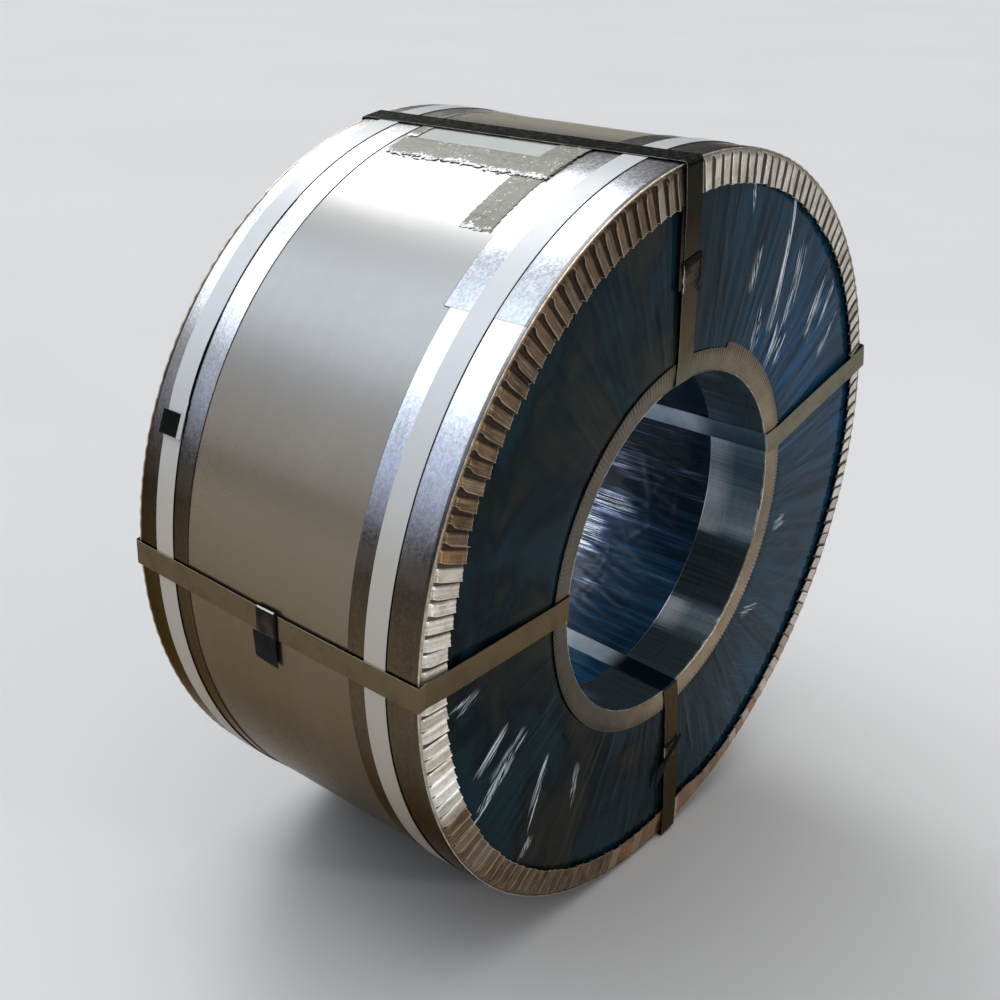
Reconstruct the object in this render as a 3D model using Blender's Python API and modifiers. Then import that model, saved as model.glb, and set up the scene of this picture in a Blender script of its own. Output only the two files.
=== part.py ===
"""A wound steel strip coil in its transport packing, lying with its bore level."""

import math

import bmesh
import bpy
from mathutils import Matrix, Vector

# Sizes are in metres. The coil's axis runs along Y, its front face looks along -Y.
BORE_DIAMETER = 0.508
COIL_DIAMETER = 1.0768
STRIP_WIDTH = 0.510
FIT_GAP = 0.0003

WRAP_THICKNESS = 0.0015
FILM_THICKNESS = 0.0010
SMOOTH_SIDES = 78

GUARD_THICKNESS = 0.0010
FRONT_LEG_LENGTH = 0.114
BACK_LEG_LENGTH = 0.102
FLANGE_WIDTH = 0.046
PLEATS = 156
PLEAT_START = 0.004
PLEAT_START_HEIGHT = 0.0035
PLEAT_HEIGHT = 0.0050
FLANGE_LIFT = 0.0037
RIDGE_SHARE = 0.80

INNER_LEG_LENGTH = 0.095
INNER_FLANGE_WIDTH = 0.034
INNER_FLANGE_LIFT = 0.003

STRAP_WIDTH = 0.035
STRAP_THICKNESS = 0.0010
RIM_BEND_RADIUS = 0.006
BORE_BEND_RADIUS = 0.003
BEND_STEPS = 3
FRONT_GIRTH_SETBACK = 0.067
BACK_GIRTH_SETBACK = 0.050

# Each tie strap's way round, in degrees from +X towards +Z: at the back rim, at the front rim,
# on the front bore guard, in the bore at the front, and in the bore at the back.
TIES = {
    "top": (97.4, 96.7, 95.9, 96.3, 96.3),
    "left": (178.8, 180.0, 179.7, 179.5, 179.5),
    "bottom": (281.0, 276.9, 277.9, 277.4, 284.0),
    "right": (17.0, 17.0, 18.6, 20.5, 20.0),
}

SEAL_LENGTH = 0.032
SEAL_THICKNESS = 0.0009
SIDE_SEAL_SETBACK = 0.243
TOP_SEAL_RADIUS = 0.400
BOTTOM_SEAL_RADIUS = 0.372
GIRTH_SEAL_ANGLE = 158.5

LABEL_THICKNESS = 0.0005
LABEL_ANGLES = (95.4, 103.6)
LABEL_FRONT_MARGIN = 0.061
LABEL_BACK_MARGIN = 0.022
TAPE_THICKNESS = 0.0003
TAPE_WIDTH = 0.048
TAPE_OVERLAP = 0.004
LOOSE_TAPE_ANGLES = (107.4, 120.4)
LOOSE_TAPE_MARGIN = 0.019

# Radii and half widths that follow from the sizes above, from the steel outwards.
coil_radius = COIL_DIAMETER / 2
wrap_inside = coil_radius + FIT_GAP
wrap_outside = wrap_inside + WRAP_THICKNESS
guard_inside = wrap_outside + FIT_GAP
guard_outside = guard_inside + GUARD_THICKNESS
girth_inside = guard_outside + FIT_GAP
girth_outside = girth_inside + STRAP_THICKNESS
tie_inside = girth_outside + FIT_GAP

film_wall = BORE_DIAMETER / 2 - FIT_GAP
film_bore = film_wall - FILM_THICKNESS
inner_leg_outside = film_bore - FIT_GAP
inner_leg_inside = inner_leg_outside - GUARD_THICKNESS
inner_leg_flat = inner_leg_inside * math.cos(math.pi / SMOOTH_SIDES)
tie_bore = math.sqrt((inner_leg_flat - FIT_GAP) ** 2 - (STRAP_WIDTH / 2) ** 2)

film_inside = STRIP_WIDTH / 2 + FIT_GAP
film_face = film_inside + FILM_THICKNESS
flange_back = film_face + FIT_GAP
rim_face = flange_back + GUARD_THICKNESS
ridge_face = rim_face + FLANGE_LIFT + PLEAT_HEIGHT
inner_ridge_face = rim_face + INNER_FLANGE_LIFT
flange_edge = guard_outside - FLANGE_WIDTH
inner_flange_edge = inner_leg_inside + INNER_FLANGE_WIDTH
axis_height = girth_outside * math.cos(math.pi / PLEATS)


def clear_scene():
    for item in list(bpy.data.objects):
        bpy.data.objects.remove(item, do_unlink=True)


def make_material(name, colour, metallic, roughness):
    material = bpy.data.materials.new(name)
    material.use_nodes = True
    shader = material.node_tree.nodes["Principled BSDF"]
    shader.inputs["Base Color"].default_value = (*colour, 1.0)
    shader.inputs["Metallic"].default_value = metallic
    shader.inputs["Roughness"].default_value = roughness
    material.diffuse_color = (*colour, 1.0)
    return material


def add_object(name, mesh, material):
    mesh.materials.append(material)
    item = bpy.data.objects.new(name, mesh)
    collection.objects.link(item)
    item.parent = coil_axis
    return item


def shade(mesh, sharp_angle=40.0):
    mesh.shade_smooth()
    mesh.set_sharp_from_angle(angle=math.radians(sharp_angle))


def finished(name, bm, sharp_angle, material):
    """Turns the faces outwards and makes the object."""
    bmesh.ops.recalc_face_normals(bm, faces=bm.faces)
    mesh = bpy.data.meshes.new(name)
    bm.to_mesh(mesh)
    bm.free()
    shade(mesh, sharp_angle)
    return add_object(name, mesh, material)


def flat_phase(sides):
    """The angle of the first corner, so that a flat lies exactly at the bottom."""
    return -math.pi / 2 + math.pi / sides


def turned(name, profile, sides, material):
    """A ring turned from a closed outline of radius and height, with a flat at the bottom."""
    start = flat_phase(sides)
    bm = bmesh.new()
    outline = [bm.verts.new(polar(radius, start, height)) for radius, height in profile]
    edges = [bm.edges.new((a, b)) for a, b in zip(outline, outline[1:] + outline[:1])]
    bmesh.ops.spin(
        bm,
        geom=edges,
        axis=(0.0, 0.0, 1.0),
        angle=math.tau,
        steps=sides,
        use_merge=True,
    )
    return finished(name, bm, 40.0, material)


def ring_profile(inside, outside, low, high):
    return [(outside, high), (outside, low), (inside, low), (inside, high)]


def polar(radius, angle, height):
    return (radius * math.cos(angle), radius * math.sin(angle), height)


def bridge(bm, first, second):
    """Joins two closed rings of points. The second has as many as the first, or a whole multiple."""
    share = len(second) // len(first)
    for i, corner in enumerate(first):
        run = [second[(i * share + j) % len(second)] for j in range(share + 1)]
        if share == 1:
            bm.faces.new((corner, first[(i + 1) % len(first)], run[1], run[0]))
            continue
        for j in range(share):
            bm.faces.new((corner, run[j + 1], run[j]))
        bm.faces.new((corner, first[(i + 1) % len(first)], run[-1]))


def pleated_guard(name, leg_length, material):
    """A corner guard: a plain leg round the barrel and a pleated flange over the face."""
    step = math.tau / PLEATS
    start = flat_phase(PLEATS)
    corners = [start + step * i for i in range(PLEATS)]
    bm = bmesh.new()

    def plain_ring(radius, height):
        return [bm.verts.new(polar(radius, angle, height)) for angle in corners]

    def pleat_ring(radius, valley, ridge):
        ring = []
        for angle in corners:
            ring.append(bm.verts.new(polar(radius, angle, valley)))
            ring.append(bm.verts.new(polar(radius, angle + step * RIDGE_SHARE, ridge)))
        return ring

    near = guard_outside - PLEAT_START
    near_lift = FLANGE_LIFT * PLEAT_START / FLANGE_WIDTH
    near_valley = rim_face + near_lift
    far_valley = rim_face + FLANGE_LIFT
    near_ridge = near_valley + PLEAT_START_HEIGHT
    far_ridge = far_valley + PLEAT_HEIGHT
    leg_end = rim_face - leg_length
    back = GUARD_THICKNESS

    outer_end = plain_ring(guard_outside, leg_end)
    outer_bend = plain_ring(guard_outside, rim_face)
    front_near = pleat_ring(near, near_valley, near_ridge)
    front_far = pleat_ring(flange_edge, far_valley, far_ridge)
    back_far = pleat_ring(flange_edge, far_valley - back, far_ridge - back)
    back_near = pleat_ring(near, near_valley - back, near_ridge - back)
    inner_bend = plain_ring(guard_inside, flange_back)
    inner_end = plain_ring(guard_inside, leg_end)

    bridge(bm, outer_end, outer_bend)
    bridge(bm, outer_bend, front_near)
    bridge(bm, front_near, front_far)
    bridge(bm, front_far, back_far)
    bridge(bm, back_far, back_near)
    bridge(bm, inner_bend, back_near)
    bridge(bm, inner_bend, inner_end)
    bridge(bm, inner_end, outer_end)
    return finished(name, bm, 25.0, material)


def inner_guard(name, material):
    """The guard of the bore's edge: a leg in the bore and a narrow flange on the face."""
    leg_end = rim_face - INNER_LEG_LENGTH
    profile = [
        (inner_flange_edge, inner_ridge_face),
        (inner_flange_edge, inner_ridge_face - GUARD_THICKNESS),
        (inner_leg_outside, flange_back),
        (inner_leg_outside, leg_end),
        (inner_leg_inside, leg_end),
        (inner_leg_inside, rim_face),
    ]
    return turned(name, profile, SMOOTH_SIDES, material)


def bend(centre, radius, start, end):
    """Points round a bend, as radius and height, from one angle to the other."""
    turns = [start + (end - start) * i / BEND_STEPS for i in range(BEND_STEPS + 1)]
    return [
        (centre[0] + radius * math.cos(turn), centre[1] + radius * math.sin(turn))
        for turn in turns
    ]


def tie_path():
    """The tie's inner side over the front half: rim, pleated flange, bore guard and bore."""
    over_ridge = ridge_face + FIT_GAP
    rim_centre = (tie_inside - RIM_BEND_RADIUS, rim_face + PLEAT_START_HEIGHT - 0.001)
    bore_centre = (tie_bore + BORE_BEND_RADIUS, rim_face - 0.4 * BORE_BEND_RADIUS)
    path = bend(rim_centre, RIM_BEND_RADIUS, 0.0, math.pi / 2)
    path.append((flange_edge, over_ridge))
    path.append((inner_flange_edge, inner_ridge_face + FIT_GAP))
    path += bend(bore_centre, BORE_BEND_RADIUS, math.pi / 2, math.pi)
    return path


def face_angle(radius, rim_angle, guard_angle):
    """A tie's angle on its way over a face, from the rim in to the bore guard."""
    share = (tie_inside - radius) / (tie_inside - inner_flange_edge)
    return rim_angle + (guard_angle - rim_angle) * min(share, 1.0)


def half_way(path, rim_angle, guard_angle, bore_angle):
    """The angle at each point of a half path: the last bend, into the bore, has its own."""
    over_face = len(path) - BEND_STEPS - 1
    angles = [face_angle(radius, rim_angle, guard_angle) for radius, _ in path[:over_face]]
    return angles + [bore_angle] * (BEND_STEPS + 1)


def tie_strap(name, angles, material):
    """A flat strap that goes once round the section: over the barrel, both faces and through the bore."""
    rim_back, rim_front, guard_front, bore_front, bore_back = angles
    front = tie_path()
    path = front + [(radius, -height) for radius, height in reversed(front)]
    turns = half_way(front, rim_front, guard_front, bore_front)
    turns += reversed(half_way(front, rim_back, bore_back, bore_back))
    points = []
    for (radius, height), turn in zip(path, turns):
        angle = math.radians(turn)
        for side in (-0.5, 0.5):
            across = side * STRAP_WIDTH
            x = radius * math.cos(angle) - across * math.sin(angle)
            y = radius * math.sin(angle) + across * math.cos(angle)
            points.append((x, y, height))
    count = len(path)
    faces = []
    for i in range(count):
        j = (i + 1) % count
        faces.append((2 * i, 2 * i + 1, 2 * j + 1, 2 * j))
    mesh = bpy.data.meshes.new(name)
    mesh.from_pydata(points, [], faces)
    shade(mesh)
    item = add_object(name, mesh, material)
    solid = item.modifiers.new("Thickness", "SOLIDIFY")
    solid.thickness = STRAP_THICKNESS
    solid.offset = 1.0
    solid.use_even_offset = True
    return item


def seal(name, material):
    """A crimped clip over a strap: a flat top with both sides folded down, along local Y."""
    half = STRAP_WIDTH / 2 + FIT_GAP
    wide = half + SEAL_THICKNESS
    low = 0.0
    under = STRAP_THICKNESS + FIT_GAP
    top = under + SEAL_THICKNESS
    outline = [
        (-wide, low),
        (-half, low),
        (-half, under),
        (half, under),
        (half, low),
        (wide, low),
        (wide, top),
        (-wide, top),
    ]
    bm = bmesh.new()
    ends = []
    for y in (-SEAL_LENGTH / 2, SEAL_LENGTH / 2):
        ends.append([bm.verts.new((x, y, z)) for x, z in outline])
    count = len(outline)
    for i in range(count):
        j = (i + 1) % count
        bm.faces.new((ends[0][i], ends[0][j], ends[1][j], ends[1][i]))
    bm.faces.new(ends[0][::-1])
    bm.faces.new(ends[1])
    return finished(name, bm, 40.0, material)


def flat_radius(angle, radius):
    """How far out the flats of a many-sided ring lie at an angle."""
    step = math.tau / SMOOTH_SIDES
    inside = (angle - flat_phase(SMOOTH_SIDES)) % step - step / 2
    return radius * math.cos(step / 2) / math.cos(inside)


def sheet(name, angles, low, high, radius, thickness, material):
    """A thin sheet that lies on the barrel's flats between two angles."""
    step = math.tau / SMOOTH_SIDES
    start, end = (math.radians(angle) for angle in angles)
    first = math.ceil((start - flat_phase(SMOOTH_SIDES)) / step + 0.01)
    turns = [start]
    corner = flat_phase(SMOOTH_SIDES) + first * step
    while corner < end - 0.01 * step:
        turns.append(corner)
        corner += step
    turns.append(end)
    bm = bmesh.new()
    sections = []
    for turn in turns:
        under = flat_radius(turn, radius)
        over = flat_radius(turn, radius + thickness)
        outline = [(over, high), (over, low), (under, low), (under, high)]
        sections.append([bm.verts.new(polar(r, turn, z)) for r, z in outline])
    for a, b in zip(sections, sections[1:]):
        for i in range(4):
            j = (i + 1) % 4
            bm.faces.new((a[i], a[j], b[j], b[i]))
    bm.faces.new(sections[0][::-1])
    bm.faces.new(sections[-1])
    return finished(name, bm, 40.0, material)


clear_scene()
collection = bpy.data.collections.new("Steel coil")
bpy.context.scene.collection.children.link(collection)
coil_axis = bpy.data.objects.new("coil_axis", None)
coil_axis.location = (0.0, 0.0, axis_height)
coil_axis.rotation_euler = (math.pi / 2, 0.0, 0.0)
collection.objects.link(coil_axis)

steel = make_material("Strip steel", (0.34, 0.36, 0.38), 0.9, 0.35)
painted = make_material("Painted wrapper sheet", (0.30, 0.29, 0.27), 0.2, 0.35)
film_blue = make_material("Blue film", (0.02, 0.07, 0.13), 0.0, 0.28)
zinc = make_material("Galvanised sheet", (0.55, 0.57, 0.60), 0.95, 0.30)
stained = make_material("Stained galvanised sheet", (0.30, 0.23, 0.15), 0.8, 0.42)
white_band = make_material("White banding", (0.62, 0.64, 0.65), 0.1, 0.40)
dark_band = make_material("Dark banding", (0.10, 0.09, 0.07), 0.6, 0.40)
clip = make_material("Seal steel", (0.12, 0.12, 0.11), 0.8, 0.40)
paper = make_material("Label paper", (0.62, 0.64, 0.60), 0.0, 0.60)
clear_tape = make_material("Packing tape", (0.66, 0.67, 0.64), 0.0, 0.20)

# The wound strip, its wrapper sheet and the film that covers both faces and the bore.
half_strip = STRIP_WIDTH / 2
bore_radius = BORE_DIAMETER / 2
turned(
    "coil_body",
    ring_profile(bore_radius, coil_radius, -half_strip, half_strip),
    SMOOTH_SIDES,
    steel,
)
turned(
    "outer_wrap",
    ring_profile(wrap_inside, wrap_outside, -half_strip, half_strip),
    SMOOTH_SIDES,
    painted,
)
film_profile = [
    (coil_radius, film_face),
    (coil_radius, film_inside),
    (film_wall, film_inside),
    (film_wall, -film_inside),
    (coil_radius, -film_inside),
    (coil_radius, -film_face),
    (film_bore, -film_face),
    (film_bore, film_face),
]
turned("end_film", film_profile, SMOOTH_SIDES, film_blue)

# Corner guards: the back ones are the front ones turned round.
pleated_guard("outer_guard_front", FRONT_LEG_LENGTH, stained)
back_guard = pleated_guard("outer_guard_back", BACK_LEG_LENGTH, stained)
inner_guard("inner_guard_front", stained)
back_inner_guard = inner_guard("inner_guard_back", stained)
for guard in (back_guard, back_inner_guard):
    guard.rotation_euler.x = math.pi

# Two girth straps hold the outer guards.
half_strap = STRAP_WIDTH / 2
front_girth = rim_face - FRONT_GIRTH_SETBACK
back_girth = -rim_face + BACK_GIRTH_SETBACK
for name, height in (("girth_strap_front", front_girth), ("girth_strap_back", back_girth)):
    outline = ring_profile(girth_inside, girth_outside, height - half_strap, height + half_strap)
    turned(name, outline, PLEATS, white_band)

# Four tie straps go through the bore.
for place, angles in TIES.items():
    tie_strap("tie_strap_" + place, angles, dark_band)


def face_run(place):
    """A tie's straight run over the front face, from the bore guard out to the pleats."""
    ends = []
    for radius, height in ((inner_flange_edge, inner_ridge_face), (flange_edge, ridge_face)):
        turn = math.radians(face_angle(radius, *TIES[place][1:3]))
        ends.append(Vector(polar(radius, turn, height + FIT_GAP)))
    return ends


def seal_on(name, start, end, share, outward):
    """A seal part way along a strap's straight run."""
    along = (end - start).normalized()
    across = along.cross(outward).normalized()
    item = seal(name, clip)
    item.location = start.lerp(end, share)
    item.rotation_euler = Matrix((across, along, across.cross(along))).transposed().to_euler()


# The seals: one on the barrel, two on the front face and one on the back girth strap.
side_back, side_front = (math.radians(turn) for turn in TIES["left"][:2])
bend_height = tie_path()[0][1]
side_share = (rim_face - SIDE_SEAL_SETBACK + bend_height) / (2 * bend_height)
side_angle = side_back + (side_front - side_back) * side_share
seal_on(
    "tie_seal_left",
    Vector(polar(tie_inside, side_back, -bend_height)),
    Vector(polar(tie_inside, side_front, bend_height)),
    side_share,
    Vector(polar(1.0, side_angle, 0.0)),
)
for name, place, radius in (
    ("tie_seal_top", "top", TOP_SEAL_RADIUS),
    ("tie_seal_bottom", "bottom", BOTTOM_SEAL_RADIUS),
):
    share = (radius - inner_flange_edge) / (flange_edge - inner_flange_edge)
    seal_on(name, *face_run(place), share, Vector((0.0, 0.0, 1.0)))

girth_seal = seal("girth_seal_back", clip)
girth_angle = math.radians(GIRTH_SEAL_ANGLE)
girth_seal.location = polar(girth_outside + FIT_GAP - STRAP_THICKNESS, girth_angle, back_girth)
girth_seal.rotation_euler = (0.0, math.pi / 2, girth_angle)

# The label sheet on the barrel, the tapes that hold its side and front edges, and a loose tape.
label_high = rim_face - FRONT_LEG_LENGTH - LABEL_FRONT_MARGIN
label_low = -rim_face + BACK_LEG_LENGTH + LABEL_BACK_MARGIN
label_start, label_end = LABEL_ANGLES
label_under = wrap_outside + FIT_GAP
side_under = label_under + LABEL_THICKNESS + FIT_GAP
front_under = side_under + TAPE_THICKNESS + FIT_GAP
overlap_turn = math.degrees(TAPE_OVERLAP / label_under)
tape_turn = math.degrees(TAPE_WIDTH / label_under)
side_start = label_end - overlap_turn
side_end = side_start + tape_turn
front_low = label_high - TAPE_OVERLAP
front_high = front_low + TAPE_WIDTH
loose_high = rim_face - FRONT_LEG_LENGTH - LOOSE_TAPE_MARGIN
loose_low = loose_high - TAPE_WIDTH
sheet("label_sheet", LABEL_ANGLES, label_low, label_high, label_under, LABEL_THICKNESS, paper)
for name, turns, low, high, under in (
    ("label_tape", (side_start, side_end), label_low, label_high, side_under),
    ("label_tape_front", (label_start, side_end), front_low, front_high, front_under),
    ("loose_tape", LOOSE_TAPE_ANGLES, loose_low, loose_high, label_under),
):
    sheet(name, turns, low, high, under, TAPE_THICKNESS, clear_tape)
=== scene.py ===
import math

import bpy
import numpy as np
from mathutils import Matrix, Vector


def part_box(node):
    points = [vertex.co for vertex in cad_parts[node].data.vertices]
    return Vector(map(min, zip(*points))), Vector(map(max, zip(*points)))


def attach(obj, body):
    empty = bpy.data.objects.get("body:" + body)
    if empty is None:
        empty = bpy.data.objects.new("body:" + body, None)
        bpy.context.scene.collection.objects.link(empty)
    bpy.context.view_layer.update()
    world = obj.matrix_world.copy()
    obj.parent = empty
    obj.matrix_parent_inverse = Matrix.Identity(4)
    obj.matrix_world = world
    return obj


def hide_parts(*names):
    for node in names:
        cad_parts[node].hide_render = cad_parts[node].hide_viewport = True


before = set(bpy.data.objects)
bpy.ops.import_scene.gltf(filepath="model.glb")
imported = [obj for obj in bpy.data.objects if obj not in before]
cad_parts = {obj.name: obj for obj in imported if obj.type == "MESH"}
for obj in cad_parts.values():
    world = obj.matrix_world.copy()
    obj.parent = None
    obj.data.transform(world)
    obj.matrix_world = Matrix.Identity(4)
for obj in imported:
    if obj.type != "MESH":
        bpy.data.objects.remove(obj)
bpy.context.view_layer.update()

TAU = math.tau
FORWARD = np.array([0.0, -1.0, 0.0])

# The part's own sizes, in metres.
FIT = 0.0003
COIL_R = 0.5384
WRAP_IN, WRAP_OUT = 0.5387, 0.5402
GUARD_IN, GUARD_OUT = 0.5405, 0.5415
GIRTH_IN, GIRTH_OUT = 0.5418, 0.5428
TIE_IN = 0.5431
FILM_WALL, FILM_BORE = 0.2537, 0.2527
LEG_OUT, LEG_IN = 0.2524, 0.2514
TIE_BORE = 0.25029
HALF_STRIP = 0.255
FILM_INSIDE, FILM_FACE = 0.2553, 0.2563
RIM = 0.2576
FACE_FILM_IN = FILM_BORE + 0.0006
FLANGE_EDGE, FLANGE_WIDTH = 0.4955, 0.046
FLANGE_LIFT, PLEAT_HEIGHT = 0.0037, 0.0050
INNER_EDGE, INNER_LIFT = 0.2854, 0.0030
PLEATS, FLUTES = 156, 272
STRAP_W, STRAP_T, STRAP_BEVEL = 0.035, 0.0010, 0.00025
RIM_BEND, BORE_BEND = 0.006, 0.003
FRONT_LEG, BACK_LEG = 0.114, 0.102
INNER_LEG = 0.095
FRONT_GIRTH, BACK_GIRTH = 0.1906, -0.2076
LABEL_HIGH, LABEL_LOW = RIM - 0.175, -RIM + 0.124
LABEL_R, SIDE_TAPE_R, BACK_TAPE_R, FRONT_TAPE_R = 0.5405, 0.5411, 0.5420, 0.5423
LABEL_T, TAPE_T, SCRAP_T = 0.0003, 0.0002, 0.00025
STRIP_HIGH, STRIP_WIDE = RIM - 0.133, 0.048

low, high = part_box("girth_strap_front")
AXIS = (low.z + high.z) / 2


def added(name, data):
    item = bpy.data.objects.new(name, data)
    bpy.context.scene.collection.objects.link(item)
    return item


# Camera, at the photograph's angle.
camera = added("camera", bpy.data.cameras.new("camera"))
camera.location = (-1.5120, -1.1209, AXIS + 0.8398)
camera.rotation_euler = (math.pi / 2 - 0.483, 0.0, -0.8171)
camera.data.lens = 48.07
camera.data.sensor_width = 36.0
camera.data.shift_x = 0.1126
camera.data.shift_y = 0.0757
camera.data.clip_start, camera.data.clip_end = 0.05, 60.0
bpy.context.scene.camera = camera


# Mesh helpers. Angles run from +X towards +Z, heights from the coil's middle towards the front face.
def place(angle, radius, height):
    angle, radius, height = np.broadcast_arrays(angle, radius, height)
    return np.stack([radius * np.cos(angle), -height, AXIS + radius * np.sin(angle)], -1)


def outwards(angle):
    return place(angle, 1.0, 0.0) - place(angle, 0.0, 0.0)


def smooth(x, a, b):
    t = np.clip((np.asarray(x, float) - a) / (b - a), 0, 1)
    return t * t * (3 - 2 * t)


def wave_noise(u, v, cells_u, cells_v, seed):
    """Smooth random values from -1 to 1 over u and v, both counted from 0 to 1. They run on where u ends."""
    r = np.random.default_rng(seed)
    grid = r.uniform(-1, 1, (cells_u, cells_v + 2))
    x, y = np.broadcast_arrays(np.asarray(u) * cells_u, np.clip(v, 0, 1) * cells_v)
    i, j = np.floor(x).astype(int), np.floor(y).astype(int)
    fx, fy = x - i, y - j
    fx, fy = fx * fx * (3 - 2 * fx), fy * fy * (3 - 2 * fy)
    j = np.clip(j, 0, cells_v)
    i1 = (i + 1) % cells_u
    i = i % cells_u
    return (
        grid[i, j] * (1 - fx) * (1 - fy)
        + grid[i1, j] * fx * (1 - fy)
        + grid[i, j + 1] * (1 - fx) * fy
        + grid[i1, j + 1] * fx * fy
    )


def make(name, points, faces, material, slot, replaces=(), sharp=35.0, data=None):
    mesh = bpy.data.meshes.new(name)
    mesh.from_pydata(np.asarray(points).reshape(-1, 3).tolist(), [], [list(map(int, face)) for face in faces])
    for key, values in (data or {}).items():
        layer = mesh.attributes.new(key, "FLOAT", "POINT")
        layer.data.foreach_set("value", np.asarray(values, np.float32).ravel())
    mesh.shade_smooth()
    mesh.set_sharp_from_angle(angle=math.radians(sharp))
    mesh.materials.append(material)
    piece = added(name, mesh)
    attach(piece, "root")
    if replaces:
        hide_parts(*replaces)
    return piece


def quads(nu, nv, close_u, close_v):
    index = np.arange(nu * nv).reshape(nu, nv)
    i = np.arange(nu if close_u else nu - 1)[:, None]
    j = np.arange(nv if close_v else nv - 1)[None, :]
    i1, j1 = (i + 1) % nu, (j + 1) % nv
    return np.stack([index[i, j], index[i1, j], index[i1, j1], index[i, j1]], -1).reshape(-1, 4)


def volume_of(points, faces):
    p = points.reshape(-1, 3) - points.reshape(-1, 3).mean(0)
    a, b, c, d = (p[faces[:, k]] for k in range(4))
    return (np.cross(a, b) * c).sum() + (np.cross(a, c) * d).sum()


def per_point(data, points):
    """Values for each point, from values for each point, each row or each column."""
    return {key: np.broadcast_to(values, points.shape[:2]) for key, values in (data or {}).items()}


def ring(name, points, material, slot, data=None, **more):
    """A closed ring: the first index runs round the coil, the second round the section."""
    faces = quads(*points.shape[:2], True, True)
    if volume_of(points, faces) < 0:
        faces = faces[:, ::-1]
    return make(name, points, faces, material, slot, data=per_point(data, points), **more)


def strip(name, points, material, slot, data=None, **more):
    """A closed bar: the first index runs along it, the second round its section, both ends capped."""
    nu, nv = points.shape[:2]
    faces = quads(nu, nv, False, True)
    start, end = list(range(nv))[::-1], list(range((nu - 1) * nv, nu * nv))
    if volume_of(points, faces) < 0:
        faces, start, end = faces[:, ::-1], start[::-1], end[::-1]
    return make(name, points, faces.tolist() + [start, end], material, slot, data=per_point(data, points), **more)


def shell_parts(grid, thick, outward):
    """Points and faces of a thin closed sheet: a grid of points and the same grid moved by its thickness."""
    nu, nv = grid.shape[:2]
    if outward is None:
        outward = np.cross(np.gradient(grid, axis=0), np.gradient(grid, axis=1))
        outward /= np.linalg.norm(outward, axis=2)[..., None] + 1e-12
    count = nu * nv
    points = np.concatenate([(grid + thick * outward).reshape(-1, 3), grid.reshape(-1, 3)])
    top = quads(nu, nv, False, False)
    under = top[:, ::-1] + count
    index = np.arange(count).reshape(nu, nv)
    border = np.concatenate([index[:-1, 0], index[-1, :-1], index[:0:-1, -1], index[0, :0:-1]])
    ahead = np.roll(border, -1)
    sides = np.stack([border, border + count, ahead + count, ahead], -1)
    faces = np.concatenate([top, under, sides])
    return points, faces[:, ::-1] if volume_of(points, faces) < 0 else faces


def shell(name, grid, thick, material, slot, outward=None, **more):
    points, faces = shell_parts(grid, thick, outward)
    return make(name, points, faces, material, slot, **more)


def columns(count, *values):
    """Numbers and columns of numbers side by side."""
    return np.concatenate([np.broadcast_to(value, (count, 1)) for value in values], 1)


def add_skin(piece, skin, nu, nv):
    """A second material for a guard, from its bend to its flange's edge."""
    line = np.arange(nv)
    piece.data.materials.append(skin)
    piece.data.polygons.foreach_set("material_index", np.tile((line >= 5) & (line < nv - 3), nu).astype(np.int32))


# Material helpers.
class Wire:
    """A node's output, which adds, subtracts and multiplies as a number does."""

    def __init__(self, nodes, socket):
        self.nodes, self.socket = nodes, socket

    def __add__(self, other):
        return self.nodes.math("ADD", self, other)

    def __sub__(self, other):
        return self.nodes.math("SUBTRACT", self, other)

    def __rsub__(self, other):
        return self.nodes.math("SUBTRACT", other, self)

    def __mul__(self, other):
        return self.nodes.math("MULTIPLY", self, other)

    def fade(self, start, end, first=0.0, last=1.0):
        """Goes from the first value to the last while this goes from start to end."""
        return self.nodes.ramp(self, (start, first), (end, last))


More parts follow.
